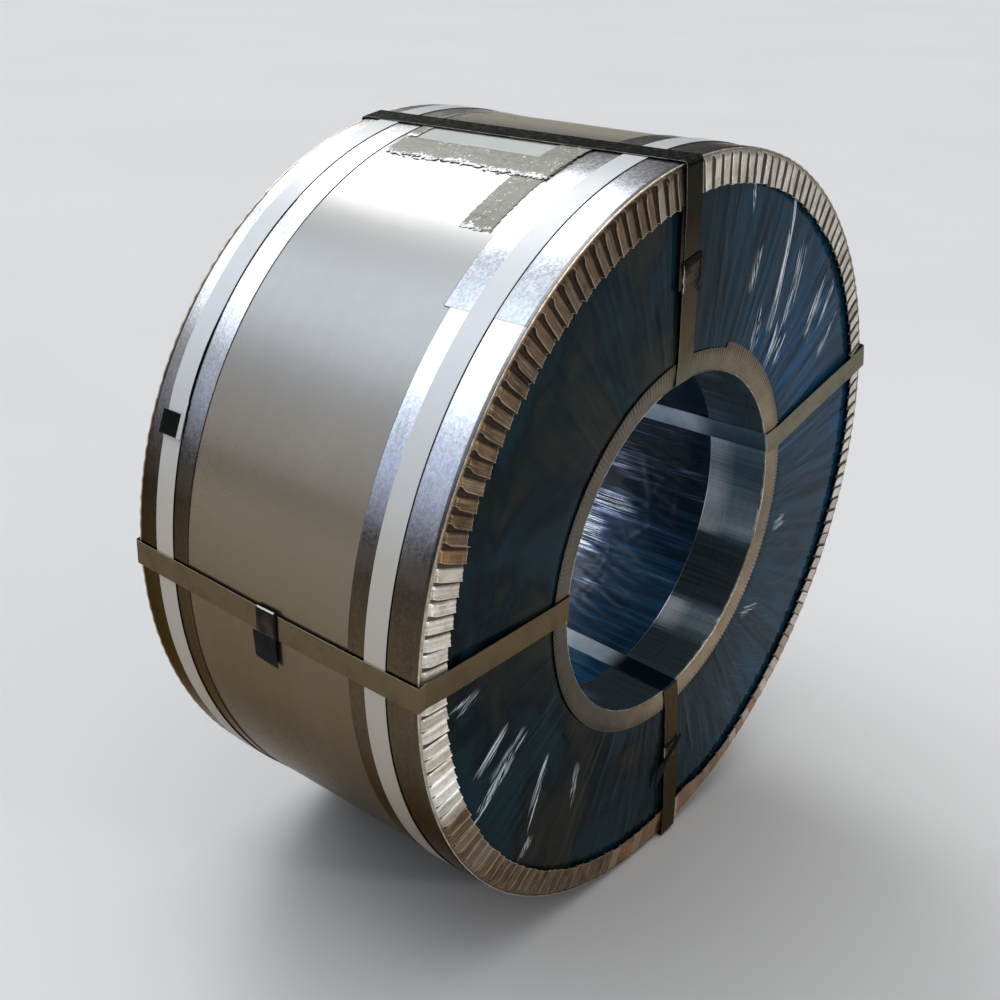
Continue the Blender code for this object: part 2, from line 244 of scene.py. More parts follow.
class Nodes:
    """The nodes of a material or a world, with the colour and the bumps that it has so far."""

    def __init__(self, name, owner=None):
        self.owner = owner or bpy.data.materials.new(name)
        self.owner.use_nodes = True
        self.tree = self.owner.node_tree
        self.colour, self.normal = None, None
        self.place = self.new("ShaderNodeTexCoord", output="Generated" if owner else "Object")

    def new(self, kind, values=None, output=0, **settings):
        """One output of a new node whose inputs are set or linked."""
        node = self.tree.nodes.new(kind)
        for key, value in settings.items():
            setattr(node, key, value)
        for key, value in (values or {}).items():
            self.put(node.inputs[key], value)
        return Wire(self, node.outputs[output])

    def put(self, socket, value):
        if isinstance(value, Wire):
            self.tree.links.new(value.socket, socket)
        else:
            socket.default_value = (*value, 1) if socket.type == "RGBA" else value

    def math(self, operation, *values):
        return self.new("ShaderNodeMath", dict(enumerate(values)), operation=operation)

    def vector(self, x, y, z):
        return self.new("ShaderNodeCombineXYZ", {0: x, 1: y, 2: z})

    def split(self, value, kind="ShaderNodeSeparateXYZ"):
        return [Wire(self, socket) for socket in self.new(kind, {0: value}).socket.node.outputs]

    def noise(self, scale, detail=3.0, rough=0.5, where=None, distortion=0.0):
        values = {"Vector": where or self.place, "Scale": scale, "Detail": detail, "Roughness": rough,
                  "Distortion": distortion}
        return self.new("ShaderNodeTexNoise", values, "Fac")

    def lines(self, count, third, detail, rough, distortion=0.0):
        """Noise whose cells follow the direction round the axis and a third value."""
        return self.noise(1.0, detail, rough, self.vector(self.cx * count, self.cz * count, third), distortion)

    def cells(self, scale, feature="F1", output="Distance"):
        return self.new("ShaderNodeTexVoronoi", {"Vector": self.place, "Scale": scale}, output, feature=feature)

    def attribute(self, name):
        return self.new("ShaderNodeAttribute", output="Fac", attribute_name=name)

    def ramp(self, value, *stops):
        found = self.new("ShaderNodeValToRGB", {0: value})
        ramp = found.socket.node.color_ramp
        while len(ramp.elements) < len(stops):
            ramp.elements.new(0.5)
        for element, (at, colour) in zip(ramp.elements, stops):
            element.position = at
            element.color = (colour,) * 3 + (1,) if isinstance(colour, (int, float)) else (*colour, 1)
        return found

    def mix(self, share, a, b, blend="MIX"):
        return self.new("ShaderNodeMix", {0: share, 6: a, 7: b}, 2, data_type="RGBA", blend_type=blend)

    def over(self, share, colour):
        """Lays a share of a colour over what is there."""
        self.colour = self.mix(share, self.colour, colour)

    def tint(self, share, factors):
        """Multiplies a share of what is there."""
        self.over(share, self.mix(1.0, self.colour, factors, "MULTIPLY"))

    def bump(self, height, strength, distance):
        """Adds a bump to what is there."""
        values = {"Strength": strength, "Distance": distance, "Height": height}
        if self.normal:
            values["Normal"] = self.normal
        self.normal = self.new("ShaderNodeBump", values)

    def polar(self):
        """Adds the radius, the direction as two values without a seam, the place along the axis and the height."""
        across, self.along, height = self.split(self.place)
        self.up = height - AXIS
        self.radius = self.math("SQRT", self.up * self.up + across * across)
        self.cx = self.math("DIVIDE", across, self.radius)
        self.cz = self.math("DIVIDE", self.up, self.radius)
        return self

    def by_height(self, wander, *stops):
        """A colour by height over the axis: rows of height in metres, red, green and blue, which wander a little."""
        value = (self.up + 0.5) + (wander - 0.5) * 0.05
        self.colour = self.ramp(value, *[(0.5 + at, colour) for at, *colour in stops])

    def finish(self, rough, metal=0.0, level=0.5, tint=(1.0, 1.0, 1.0)):
        values = {"Base Color": self.colour, "Roughness": rough, "Metallic": metal, "Specular IOR Level": level,
                  "Specular Tint": tint}
        if self.normal:
            values["Normal"] = self.normal
        for key, value in values.items():
            self.put(self.tree.nodes["Principled BSDF"].inputs[key], value)
        return self.owner


def wrapper_paint():
    n = Nodes("wrapper_paint").polar()
    broad = n.noise(2.2, 4.0, 0.55)
    fine = n.noise(60.0, 4.0, 0.6)
    drawn = n.lines(3.0, n.along * 45.0, 4.0, 0.6)
    # Painted shade and reflection: the colour is set by height, dark and brown low down, lightest a little above the
    # middle and greyer towards the top.
    n.by_height(
        broad,
        (-0.27, 0.046, 0.029, 0.013), (-0.18, 0.072, 0.047, 0.022), (-0.10, 0.128, 0.086, 0.044),
        (0.00, 0.168, 0.124, 0.072), (0.10, 0.240, 0.196, 0.130), (0.20, 0.370, 0.310, 0.235),
        (0.25, 0.330, 0.290, 0.230), (0.31, 0.285, 0.275, 0.255), (0.36, 0.280, 0.282, 0.285),
        (0.41, 0.235, 0.240, 0.245), (0.46, 0.185, 0.190, 0.192), (0.485, 0.245, 0.248, 0.250),
        (0.51, 0.290, 0.290, 0.285),
    )
    n.over(drawn.fade(0.35, 0.75, 0.0, 0.12), (0.200, 0.190, 0.170))
    n.over(broad.fade(0.35, 0.75, 0.0, 0.18), (0.240, 0.225, 0.200))
    # Painted highlight: lighter at the top, beyond the crown.
    beyond = n.ramp(n.math("MULTIPLY_ADD", n.cx, 0.5, 0.5), (0.465, 0.0), (0.515, 1.0), (0.60, 0.8), (0.72, 0.0))
    n.over(beyond * (n.up + 0.5).fade(0.5, 0.8), (0.72, 0.68, 0.57))
    n.bump(n.noise(2.6, 2.0, 0.4), 0.10, 0.010)
    n.bump(fine, 0.03, 0.0004)
    rough = fine.fade(0.3, 0.75, 0.25, 0.29) + broad.fade(0.3, 0.7, 0.0, 0.04)
    return n.finish(rough, 0.90, 0.3, (0.75, 0.68, 0.58))


def zinc_sheet():
    n = Nodes("zinc_sheet").polar()
    flake = n.split(n.cells(300.0, output="Color"), "ShaderNodeSeparateColor")[0]
    grain = n.noise(420.0, 3.0, 0.6)
    tone = n.noise(16.0, 5.0, 0.65)
    rolled = n.lines(5.0, n.along * 220.0, 3.0, 0.6)
    # Painted shade and reflection: the colour is set by height, dark and brown low down and near white higher up.
    n.by_height(
        tone,
        (-0.27, 0.033, 0.025, 0.016), (-0.18, 0.086, 0.072, 0.056), (-0.10, 0.100, 0.083, 0.060),
        (-0.03, 0.114, 0.088, 0.055), (0.05, 0.098, 0.072, 0.044), (0.12, 0.074, 0.059, 0.044),
        (0.155, 0.145, 0.130, 0.118), (0.190, 0.390, 0.380, 0.400), (0.24, 0.540, 0.555, 0.610),
        (0.30, 0.740, 0.765, 0.800), (0.37, 0.720, 0.740, 0.760), (0.43, 0.560, 0.590, 0.620),
        (0.475, 0.680, 0.690, 0.695), (0.51, 0.800, 0.820, 0.850),
    )
    n.colour = n.mix(1.0, n.colour, n.mix(flake, (0.72, 0.72, 0.74), (1.0, 1.0, 1.0)), "MULTIPLY")
    n.tint(rolled.fade(0.50, 0.80, 0.0, 0.45), (0.45, 0.43, 0.40))
    n.tint(grain.fade(0.58, 0.75, 0.0, 0.5), (1.7, 1.7, 1.7))
    # Darker beside the rim, in the groove at the bend. Then painted light: a near white painted highlight on the back
    # guard's lapping piece where it shows, painted shade at the crown beside the front rim and lower down on the back
    # guard, and painted shade on the front guard's lapping piece where it shows.
    n.over(n.ramp(n.math("ABSOLUTE", n.along), (0.0, 0.0), (0.2525, 0.0), (0.2556, 0.85)), (0.085, 0.060, 0.040))
    n.over(n.attribute("lap_highlight"), (0.92, 0.93, 0.95))
    n.tint((n.along + 0.5).fade(0.240, 0.310, 1.0, 0.0) * (n.up + 0.5).fade(0.99, 1.03, 0.0, 0.8), (0.36, 0.38, 0.42))
    n.tint((n.along + 0.5).fade(0.60, 0.75) * (n.up + 0.5).fade(0.80, 0.88, 1.0, 0.0), (0.50, 0.45, 0.38))
    n.tint(n.attribute("lap_shade"), (0.58, 0.59, 0.60))
    n.bump(flake, 0.05, 0.0004)
    n.bump(grain, 0.08, 0.0003)
    n.bump(n.noise(5.0, 2.0, 0.5), 0.08, 0.010)
    return n.finish(flake.fade(0.0, 1.0, 0.16, 0.23) + tone.fade(0.4, 0.7, 0.0, 0.05), 0.96, 0.3, (0.55, 0.47, 0.38))


def pleat_sheet():
    n = Nodes("pleat_sheet").polar()
    tone, inward = n.attribute("tone"), n.attribute("inward")
    speck = n.noise(150.0, 5.0, 0.70)
    blotch = n.noise(48.0, 5.0, 0.70)
    drawn = n.lines(330.0, n.radius * 26.0, 4.0, 0.6)
    worn = blotch.fade(0.36, 0.64)
    rust = n.mix(worn, (0.058, 0.032, 0.014), (0.165, 0.098, 0.048))
    rust = n.mix(drawn.fade(0.48, 0.70, 0.0, 0.8), rust, (0.330, 0.240, 0.150))
    orange = n.mix(blotch.fade(0.36, 0.60), (0.200, 0.085, 0.028), (0.420, 0.225, 0.110))
    rust = n.mix(n.attribute("orange"), rust, orange)
    # The pale colour, where rust is low, is partly painted reflection, lighter where the pleats would catch the light.
    pale = n.mix(worn, (0.480, 0.410, 0.320), (0.820, 0.780, 0.690))
    pale = n.mix(drawn.fade(0.50, 0.70, 0.0, 0.7), pale, (0.95, 0.93, 0.87))
    pale = n.mix(speck.fade(0.58, 0.72, 0.0, 0.7), pale, (0.260, 0.190, 0.125))
    n.colour = n.mix((tone + (blotch - 0.5) * 0.5).fade(0.30, 0.85), pale, rust)
    # Painted highlight: near white where the rust share is nearly nil.
    n.over(tone.fade(0.0, 0.08, 1.0, 0.0), n.mix(speck.fade(0.45, 0.70), (0.98, 0.96, 0.92), (0.70, 0.64, 0.56)))
    # Painted highlight along each pleat's crest and its bright lines.
    crest = n.attribute("crest_highlight").fade(0.35, 0.85, 0.0, 0.9) * blotch.fade(0.30, 0.55, 0.25, 1.0)
    n.over(crest, n.mix(tone.fade(0.3, 0.8), (0.92, 0.89, 0.82), (0.40, 0.315, 0.225)))
    # Painted shade: the fold between two pleats is painted dark. The cut edge stays bright.
    fold = (n.attribute("fold") + (drawn - 0.5) * 0.5).fade(0.35, 0.62) * inward.fade(0.08, 0.14)
    deep = n.mix(speck.fade(0.35, 0.7), (0.014, 0.009, 0.006), (0.050, 0.032, 0.020))
    n.over(fold * 0.94, n.mix(tone.fade(0.15, 0.5, 1.0, 0.0), deep, (0.10, 0.078, 0.055)))
    skirt = n.mix(speck.fade(0.4, 0.7), (0.060, 0.038, 0.022), (0.16, 0.115, 0.075))
    n.over(inward.fade(0.0, 0.11, 1.0, 0.0) * 0.75, skirt)
    wire = n.mix(speck.fade(0.40, 0.66), (0.42, 0.33, 0.24), (0.72, 0.64, 0.53))
    n.over(inward.fade(0.975, 0.995, 0.0, 0.75), wire)
    # Painted highlight: the bead at the rim takes the same bright colour.
    n.over(n.attribute("bead").fade(0.45, 0.75), wire)
    n.bump(speck, 0.35, 0.0006)
    n.bump(drawn, 0.40, 0.0012)
    n.bump(blotch, 0.25, 0.0015)
    return n.finish(blotch.fade(0.2, 0.8, 0.26, 0.42) + fold * 0.25, 0.75)


def inner_flange_sheet():
    n = Nodes("inner_flange_sheet")
    blotch = n.noise(30.0, 5.0, 0.68)
    speck = n.noise(170.0, 4.0, 0.65)
    worn = blotch.fade(0.35, 0.65)
    olive = n.mix(worn, (0.028, 0.022, 0.012), (0.052, 0.042, 0.024))
    olive = n.mix(speck.fade(0.55, 0.75, 0.0, 0.6), olive, (0.16, 0.135, 0.090))
    # The rosy colour is partly painted reflection, lighter where the flange would catch the light.
    n.colour = n.mix(n.attribute("tone"), olive, n.mix(worn, (0.220, 0.155, 0.088), (0.360, 0.270, 0.165)))
    n.over(n.attribute("flute").fade(0.10, 0.55, 0.70, 0.0), (0.030, 0.020, 0.012))
    n.over(speck.fade(0.64, 0.76, 0.0, 0.5), (0.040, 0.030, 0.020))
    # Painted highlight along the bead at the rim.
    wire = n.mix(speck.fade(0.40, 0.66), (0.42, 0.36, 0.28), (0.85, 0.82, 0.76))
    n.over(n.attribute("bead").fade(0.45, 0.75), wire)
    n.bump(speck, 0.20, 0.0005)
    n.bump(n.noise(14.0, 2.0, 0.5), 0.20, 0.004)
    return n.finish(blotch.fade(0.2, 0.8, 0.26, 0.40), 0.85)


def inner_leg_sheet():
    n = Nodes("inner_leg_sheet").polar()
    drawn = n.lines(6.0, n.along * 420.0, 4.0, 0.65)
    axial = n.lines(70.0, n.along * 6.0, 4.0, 0.65)
    # Painted reflection: the leg is coloured from dark to near white by the painted sheen, and a painted highlight lies
    # near its deep edge.
    painted_reflection = n.attribute("sheen") + (axial - 0.5) * 0.30
    n.colour = n.ramp(painted_reflection, (0.0, (0.030, 0.036, 0.034)), (0.30, (0.150, 0.220, 0.250)), (0.62, (0.60, 0.74, 0.80)),
                      (1.0, (0.97, 0.98, 1.0)))
    n.over((n.along + 0.5).fade(0.292, 0.322) * painted_reflection.fade(0.18, 0.40, 0.0, 0.9), (0.95, 0.98, 1.0))
    n.tint(drawn.fade(0.52, 0.75, 0.0, 0.55), (0.35, 0.34, 0.32))
    n.bump(drawn, 0.10, 0.0004)
    n.bump(axial, 0.10, 0.0010)
    n.bump(n.noise(9.0, 3.0, 0.5), 0.10, 0.006)
    return n.finish(drawn.fade(0.3, 0.8, 0.10, 0.22), 0.55, 0.6)


def blue_film():
    n = Nodes("blue_film").polar()
    streak = n.lines(26.0, n.radius * 5.0, 5.0, 0.60, 0.6)
    fine = n.lines(150.0, n.radius * 14.0, 4.0, 0.60, 0.3)
    patch = n.noise(7.0, 3.0, 0.55, distortion=0.6)
    # Painted reflection: the film is coloured darker to the left and a lighter blue towards the right and the top.
    side = n.math("MULTIPLY_ADD", n.cx, 0.38, 0.40) + (n.noise(3.0, 3.0, 0.5) - 0.5) * 0.9
    side = n.math("MULTIPLY_ADD", n.cz, 0.12, side)
    n.colour = n.ramp(side, (0.10, (0.0030, 0.0050, 0.0060)), (0.40, (0.0045, 0.0120, 0.0160)),
                      (0.68, (0.0060, 0.0360, 0.0640)), (0.95, (0.0040, 0.0700, 0.1900)))
    n.over(streak.fade(0.40, 0.58, 0.7, 0.0), (0.0020, 0.0055, 0.0075))
    n.tint(streak.fade(0.60, 0.80, 0.0, 0.4), (1.9, 1.9, 1.8))
    left = (n.cx + 0.5).fade(0.30, 0.62, 1.0, 0.0)
    n.over(left * patch.fade(0.50, 0.62, 0.0, 0.8), (0.020, 0.020, 0.012))
    n.over(left * patch.fade(0.38, 0.48, 0.8, 0.0), (0.005, 0.022, 0.030))
    # Thin lines that lean as they run outwards, with painted highlights: lighter towards the right, and near white
    # along the sharp creases.
    c, s = n.math("COSINE", n.radius), n.math("SINE", n.radius)
    x, z = n.cx * c + n.cz * s, n.cz * c - n.cx * s
    thin = n.noise(1.0, 3.0, 0.55, n.vector(x * 230.0, z * 230.0, n.radius * 11.0))
    right = (n.cx + 0.5).fade(0.30, 0.95, 0.10, 1.0)
    n.over(right * thin.fade(0.60, 0.72, 0.0, 0.5), (0.050, 0.120, 0.180))
    n.over((n.attribute("crease_highlight") * thin.fade(0.42, 0.56, 0.15, 1.0)).fade(0.10, 0.60), (0.74, 0.80, 0.86))
    n.bump(streak, 0.13, 0.0028)
    n.bump(patch, 0.22, 0.0050)
    n.bump(thin, 0.06, 0.0006)
    return n.finish(fine.fade(0.25, 0.75, 0.14, 0.24), 0.0, 0.06, (0.20, 0.60, 1.0))


def bore_film():
    n = Nodes("bore_film").polar()
    streak = n.lines(24.0, n.along * 4.0, 5.0, 0.62, 0.4)
    fine = n.lines(110.0, n.along * 7.0, 4.0, 0.62, 0.3)
    n.colour = n.mix(n.noise(6.0, 3.0, 0.5).fade(0.35, 0.65), (0.006, 0.018, 0.034), (0.012, 0.055, 0.120))
    n.over(streak.fade(0.48, 0.72, 0.0, 0.8), (0.030, 0.130, 0.280))
    # Painted shade: the bore's upper part, from a little below the axis up, is painted nearly black.
    n.over((n.up + 0.5).fade(0.39, 0.47, 0.0, 0.85), (0.004, 0.010, 0.016))
    # Painted highlights: streaks painted white in the middle of a patch of shine and blue round it.
    shine = n.attribute("shine") + (streak - 0.5) * 1.9
    lit = shine.fade(0.26, 0.60) * fine.fade(0.44, 0.54)
    n.over(lit, n.mix(shine.fade(0.45, 0.95), (0.42, 0.52, 0.80), (0.92, 0.96, 1.0)))
    n.bump(n.noise(14.0, 2.0, 0.5, distortion=0.8), 0.25, 0.005)
    n.bump(streak, 0.22, 0.0030)
    n.bump(fine * (n.attribute("shine") + 0.15), 1.0, 0.0012)
    return n.finish(streak.fade(0.3, 0.7, 0.14, 0.24), lit * 0.9)


def white_banding():
    n = Nodes("white_banding").polar()
    speck = n.noise(90.0, 5.0, 0.7)
    # Painted shade and reflection: the colour is set by height, darker and browner low down and lightest above the
    # middle.
    n.by_height(
        n.noise(5.0, 4.0, 0.6),
        (-0.26, 0.270, 0.210, 0.150), (-0.18, 0.385, 0.315, 0.235), (-0.10, 0.450, 0.385, 0.320),
        (-0.03, 0.480, 0.425, 0.365), (0.05, 0.520, 0.475, 0.425), (0.13, 0.545, 0.520, 0.470),
        (0.20, 0.640, 0.635, 0.610), (0.30, 0.660, 0.675, 0.695), (0.38, 0.620, 0.640, 0.665),
        (0.45, 0.510, 0.530, 0.540), (0.50, 0.450, 0.468, 0.465),
    )
    n.over(speck.fade(0.68, 0.76, 0.0, 0.6), (0.22, 0.19, 0.15))
    # Painted shade on the strap's sides and underside.
    n.over(n.attribute("edge") * 0.9, (0.035, 0.028, 0.020))
    n.bump(n.noise(40.0, 3.0, 0.5), 0.05, 0.002)
    return n.finish(speck.fade(0.3, 0.8, 0.32, 0.45), 0.10)


def dark_banding():
    n = Nodes("dark_banding").polar()
    broad = n.noise(7.0, 4.0, 0.6)
    speck = n.noise(130.0, 5.0, 0.72)
    grain = n.noise(26.0, 4.0, 0.6)
    # Painted shade and reflection: the colour is set by height, darker low down, lightest a little above the middle and
    # near black at the top.
    n.by_height(
        broad,
        (-0.50, 0.070, 0.052, 0.030), (-0.25, 0.080, 0.058, 0.034), (-0.05, 0.130, 0.092, 0.052),
        (0.03, 0.150, 0.108, 0.063), (0.09, 0.210, 0.195, 0.145), (0.19, 0.195, 0.185, 0.140),
        (0.32, 0.095, 0.078, 0.050), (0.42, 0.045, 0.038, 0.026), (0.47, 0.022, 0.021, 0.016),
    )
    n.tint(grain.fade(0.50, 0.75, 0.0, 0.5), (0.45, 0.46, 0.48))
    n.tint(speck.fade(0.62, 0.74, 0.0, 0.5), (2.2, 2.2, 2.3))
    # Painted reflection: near black where the strap lies on top of the barrel.
    black = n.mix(speck.fade(0.46, 0.66), (0.006, 0.009, 0.008), (0.060, 0.075, 0.070))
    n.over(n.radius.fade(0.5395, 0.5425), n.mix(n.up.fade(0.35, 0.45), n.colour, black))
    # Painted reflection: in the bore the straps are painted blue, and light blue to near white where they lie far in.
    far = (n.along + 0.3).fade(0.130, 0.165)
    close = n.mix((n.up + 0.5).fade(0.45, 0.55), (0.030, 0.048, 0.064), (0.200, 0.270, 0.320))
    blue = n.mix(far, close, n.mix(broad.fade(0.38, 0.62), (0.34, 0.46, 0.58), (0.92, 0.96, 1.0)))
    in_bore = n.radius.fade(0.2515, 0.2535, 1.0, 0.0)
    n.over(in_bore, blue)
    # Painted highlight along the strap's edges.
    n.over(n.attribute("edge") * grain.fade(0.35, 0.6, 0.15, 0.8), (0.46, 0.43, 0.38))
    n.bump(n.noise(30.0, 3.0, 0.5), 0.08, 0.003)
    n.bump(speck, 0.12, 0.0003)
    rough = grain.fade(0.2, 0.8, 0.20, 0.34) - in_bore * 0.08
    return n.finish(rough, 0.88 - in_bore * far * 0.5, 0.2, (0.5, 0.48, 0.44))


def seal_steel():
    n = Nodes("seal_steel")
    speck = n.noise(120.0, 5.0, 0.72)
    broad = n.noise(26.0, 3.0, 0.6)
    n.colour = n.mix(broad.fade(0.38, 0.64), (0.018, 0.015, 0.011), (0.085, 0.064, 0.044))
    n.over(speck.fade(0.60, 0.72, 0.0, 0.7), (0.22, 0.19, 0.15))
    # Painted highlight on the clip's side that faces the light.
    n.over(n.attribute("edge").fade(0.75, 0.95, 0.0, 0.7), (0.50, 0.48, 0.44))
    n.bump(broad, 0.35, 0.004)
    n.bump(speck, 0.30, 0.0008)
    return n.finish(speck.fade(0.2, 0.8, 0.36, 0.52), 0.6, 0.2, (0.35, 0.32, 0.28))


def dark_steel_and_shade():
    n = Nodes("dark_steel_and_shade")
    speck = n.noise(150.0, 5.0, 0.7)
    broad = n.noise(30.0, 3.0, 0.6)
    # Near black: painted shade for the strap's folded ends, tails and ear and for the gap at the left seal; the girth
    # seal's black clip uses it too.
    n.colour = n.mix(broad.fade(0.38, 0.66), (0.004, 0.006, 0.005), (0.012, 0.014, 0.011))
    n.over(speck.fade(0.66, 0.76, 0.0, 0.5), (0.10, 0.095, 0.08))
    n.bump(broad, 0.25, 0.003)
    return n.finish(speck.fade(0.2, 0.8, 0.28, 0.45), 0.4, 0.10, (0.25, 0.25, 0.24))


def label_paper():
    n = Nodes("label_paper")
    broad = n.noise(9.0, 4.0, 0.6)
    n.colour = n.mix(broad.fade(0.3, 0.7), (0.36, 0.385, 0.350), (0.43, 0.450, 0.415))
    n.bump(n.noise(220.0, 4.0, 0.6), 0.08, 0.0003)
    n.bump(broad, 0.12, 0.004)
    return n.finish(0.55, 0.0, 0.25)


def packing_tape():
    n = Nodes("packing_tape")
    wrinkle = n.noise(70.0, 5.0, 0.7, distortion=1.0)
    patch = n.noise(230.0, 5.0, 0.75) + (n.noise(24.0, 3.0, 0.6) - 0.5) * 0.40
    n.colour = n.mix(wrinkle.fade(0.42, 0.62), (0.165, 0.160, 0.118), (0.235, 0.228, 0.178))
    n.over((patch + n.attribute("crinkle") * 0.16).fade(0.625, 0.650), (0.90, 0.91, 0.90))
    n.bump(n.cells(230.0, "SMOOTH_F1"), 0.15, 0.0010)
    n.bump(wrinkle, 0.15, 0.0015)
    return n.finish(wrinkle.fade(0.3, 0.7, 0.35, 0.50), 0.0, 0.2)


def torn_film():
    n = Nodes("torn_film")
    wrinkle = n.noise(120.0, 5.0, 0.7)
    n.colour = n.mix(wrinkle.fade(0.40, 0.65), (0.84, 0.85, 0.84), (0.98, 0.98, 0.97))
    n.bump(wrinkle, 0.4, 0.0010)
    return n.finish(wrinkle.fade(0.3, 0.7, 0.25, 0.45))


def strip_steel():
    n = Nodes("strip_steel").polar()
    turns = n.noise(1.0, 2.0, 0.5, n.vector(n.radius * 900.0, 0.0, 0.0))
    n.colour = n.mix(turns, (0.22, 0.23, 0.25), (0.45, 0.46, 0.48))
    n.bump(turns, 0.3, 0.0004)
    return n.finish(turns.fade(0.2, 0.8, 0.25, 0.45), 0.9)


zinc = zinc_sheet()
pleat_skin = pleat_sheet()
inner_skin = inner_flange_sheet()
leg_skin = inner_leg_sheet()
film_skin = blue_film()
white_band = white_banding()
dark_band = dark_banding()
seal_skin = seal_steel()
end_skin = dark_steel_and_shade()
tape_skin = packing_tape()
torn_skin = torn_film()

for material_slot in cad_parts["coil_body"].material_slots:
    material_slot.material = strip_steel()


# The wrapper sheet round the barrel.
def build_wrap():
    nu, rows = 720, 44
    a = (np.arange(nu) / nu * TAU)[:, None]
    h = np.linspace(HALF_STRIP, -HALF_STRIP, rows)[None, :]
    u, v = a / TAU, (h + HALF_STRIP) / (2 * HALF_STRIP)
    sink = 0.00010 * (1 + wave_noise(u, v, 13, 2, 11)) + 0.00002 * (1 + wave_noise(u, v, 60, 3, 12))
    points = np.concatenate([place(a, WRAP_OUT - sink, h), place(a, WRAP_IN, h[:, [-1, 0]])], 1)
    ring("wrapper_sheet", points, wrapper_paint(), "wrapper_sheet", replaces=["outer_wrap"])


# The pleated corner guards. Each pleat rises to a rounded crest and drops behind it into a deep fold,
# which is wide at the rim and closes towards the inner edge. The rows hold, across one pleat: where, how tall,
# the crest, where a highlight is painted, the fold, where shade is painted, how far the fold closes, how far the
# pleat hooks over at the rim, and its bright lines, which are painted highlights.
PLEAT = np.array([
    [0.0, 0.03, 0.17, 0.22, 0.30, 0.42, 0.56, 0.70, 0.82, 0.875, 0.90, 0.93],
    [0.0, 0.0, 0.02, 0.34, 0.60, 0.47, 0.70, 0.64, 0.90, 1.0, 0.90, 0.10],
    [0.0, 0.0, 0.0, 0.45, 0.0, 0.0, 0.0, 0.0, 0.55, 1.0, 0.70, 0.0],
    [1.0, 1.0, 1.0, 0.0, 0.0, 0.34, 0.0, 0.28, 0.0, 0.0, 0.45, 1.0],
    [0.0, 0.0, 0.11, 0.11, 0.03, 0.0, 0.0, 0.0, 0.0, 0.0, 0.0, 0.0],
    [0.0, 0.0, 0.0, 0.0, 0.02, 0.05, 0.09, 0.14, 0.20, 0.24, 0.24, 0.20],
    [0.0, 0.0, 0.0, 0.0, 0.9, 0.0, 0.9, 0.0, 0.0, 0.0, 0.0, 0.0],
])

# Lines over the flange, from the bend inwards: how far in, and how much of the pleat shows.
INWARD = np.array([0.0048, 0.0060, 0.0076, 0.0098, 0.0140, 0.0200, 0.0265, 0.0330, 0.0395, 0.0442, FLANGE_WIDTH])
GROW = np.array([0.02, 0.40, 0.74, 0.86, 0.86, 0.88, 0.91, 0.94, 0.98, 1.0, 1.0])

# How much wider the flange is at an angle in degrees, in millimetres, where its segments lap and sag.
EDGE_ANGLES = [0, 40, 55, 95, 99, 120, 140, 150, 159.9, 160.1, 170, 176, 200, 245, 262, 270, 277, 284, 289, 297,
               306, 320, 360]
EDGE_WIDER = [-6, -6, -2, -1, 7, 6, 2.7, -0.5, -4.5, 4.5, 1.8, -1, 0, -1.5, 0, 2.5, 7, 5, -7, -10, -7, -4, -6]

# How much rust brown the flange has at an angle, from 0 to 1, and how orange it is. Where there is little rust the
# flange is pale, which is partly painted reflection where the pleats catch the light.
RUST_AND_SHEEN_ANGLES = [0, 20, 30, 45, 60, 92, 97, 110, 160.1, 162.4, 162.7, 180, 193, 196, 200, 204, 212, 245, 262, 300,
                345, 360]
RUST_AND_SHEEN = [0.15, 0.10, 0.55, 0.35, 0.10, 0.10, 0.85, 1.0, 1.0, 1.0, 0.35, 0.25, 0.20, 0.0, 0.0, 0.75, 0.95, 1.0, 0.85,
         0.80, 0.45, 0.15]
ORANGE_ANGLES = [0, 159.8, 160.0, 162.4, 162.6, 240, 258, 266, 300, 320, 360]
ORANGE = [0.0, 0.0, 0.5, 0.5, 0.0, 0.0, 0.2, 0.9, 1.0, 0.6, 0.0]

# How wide the folds between the pleats stand open, from 0 to 1.
OPEN_ANGLES = [0, 95, 98, 158, 164, 200, 290, 360]
OPEN = [0.0, 0.0, 1.0, 1.0, 0.45, 0.30, 0.10, 0.0]
BACK_OPEN, BACK_STAIN = 0.4, 0.75
GUARD_THICK, INNER_THICK = 0.0010, 0.0008


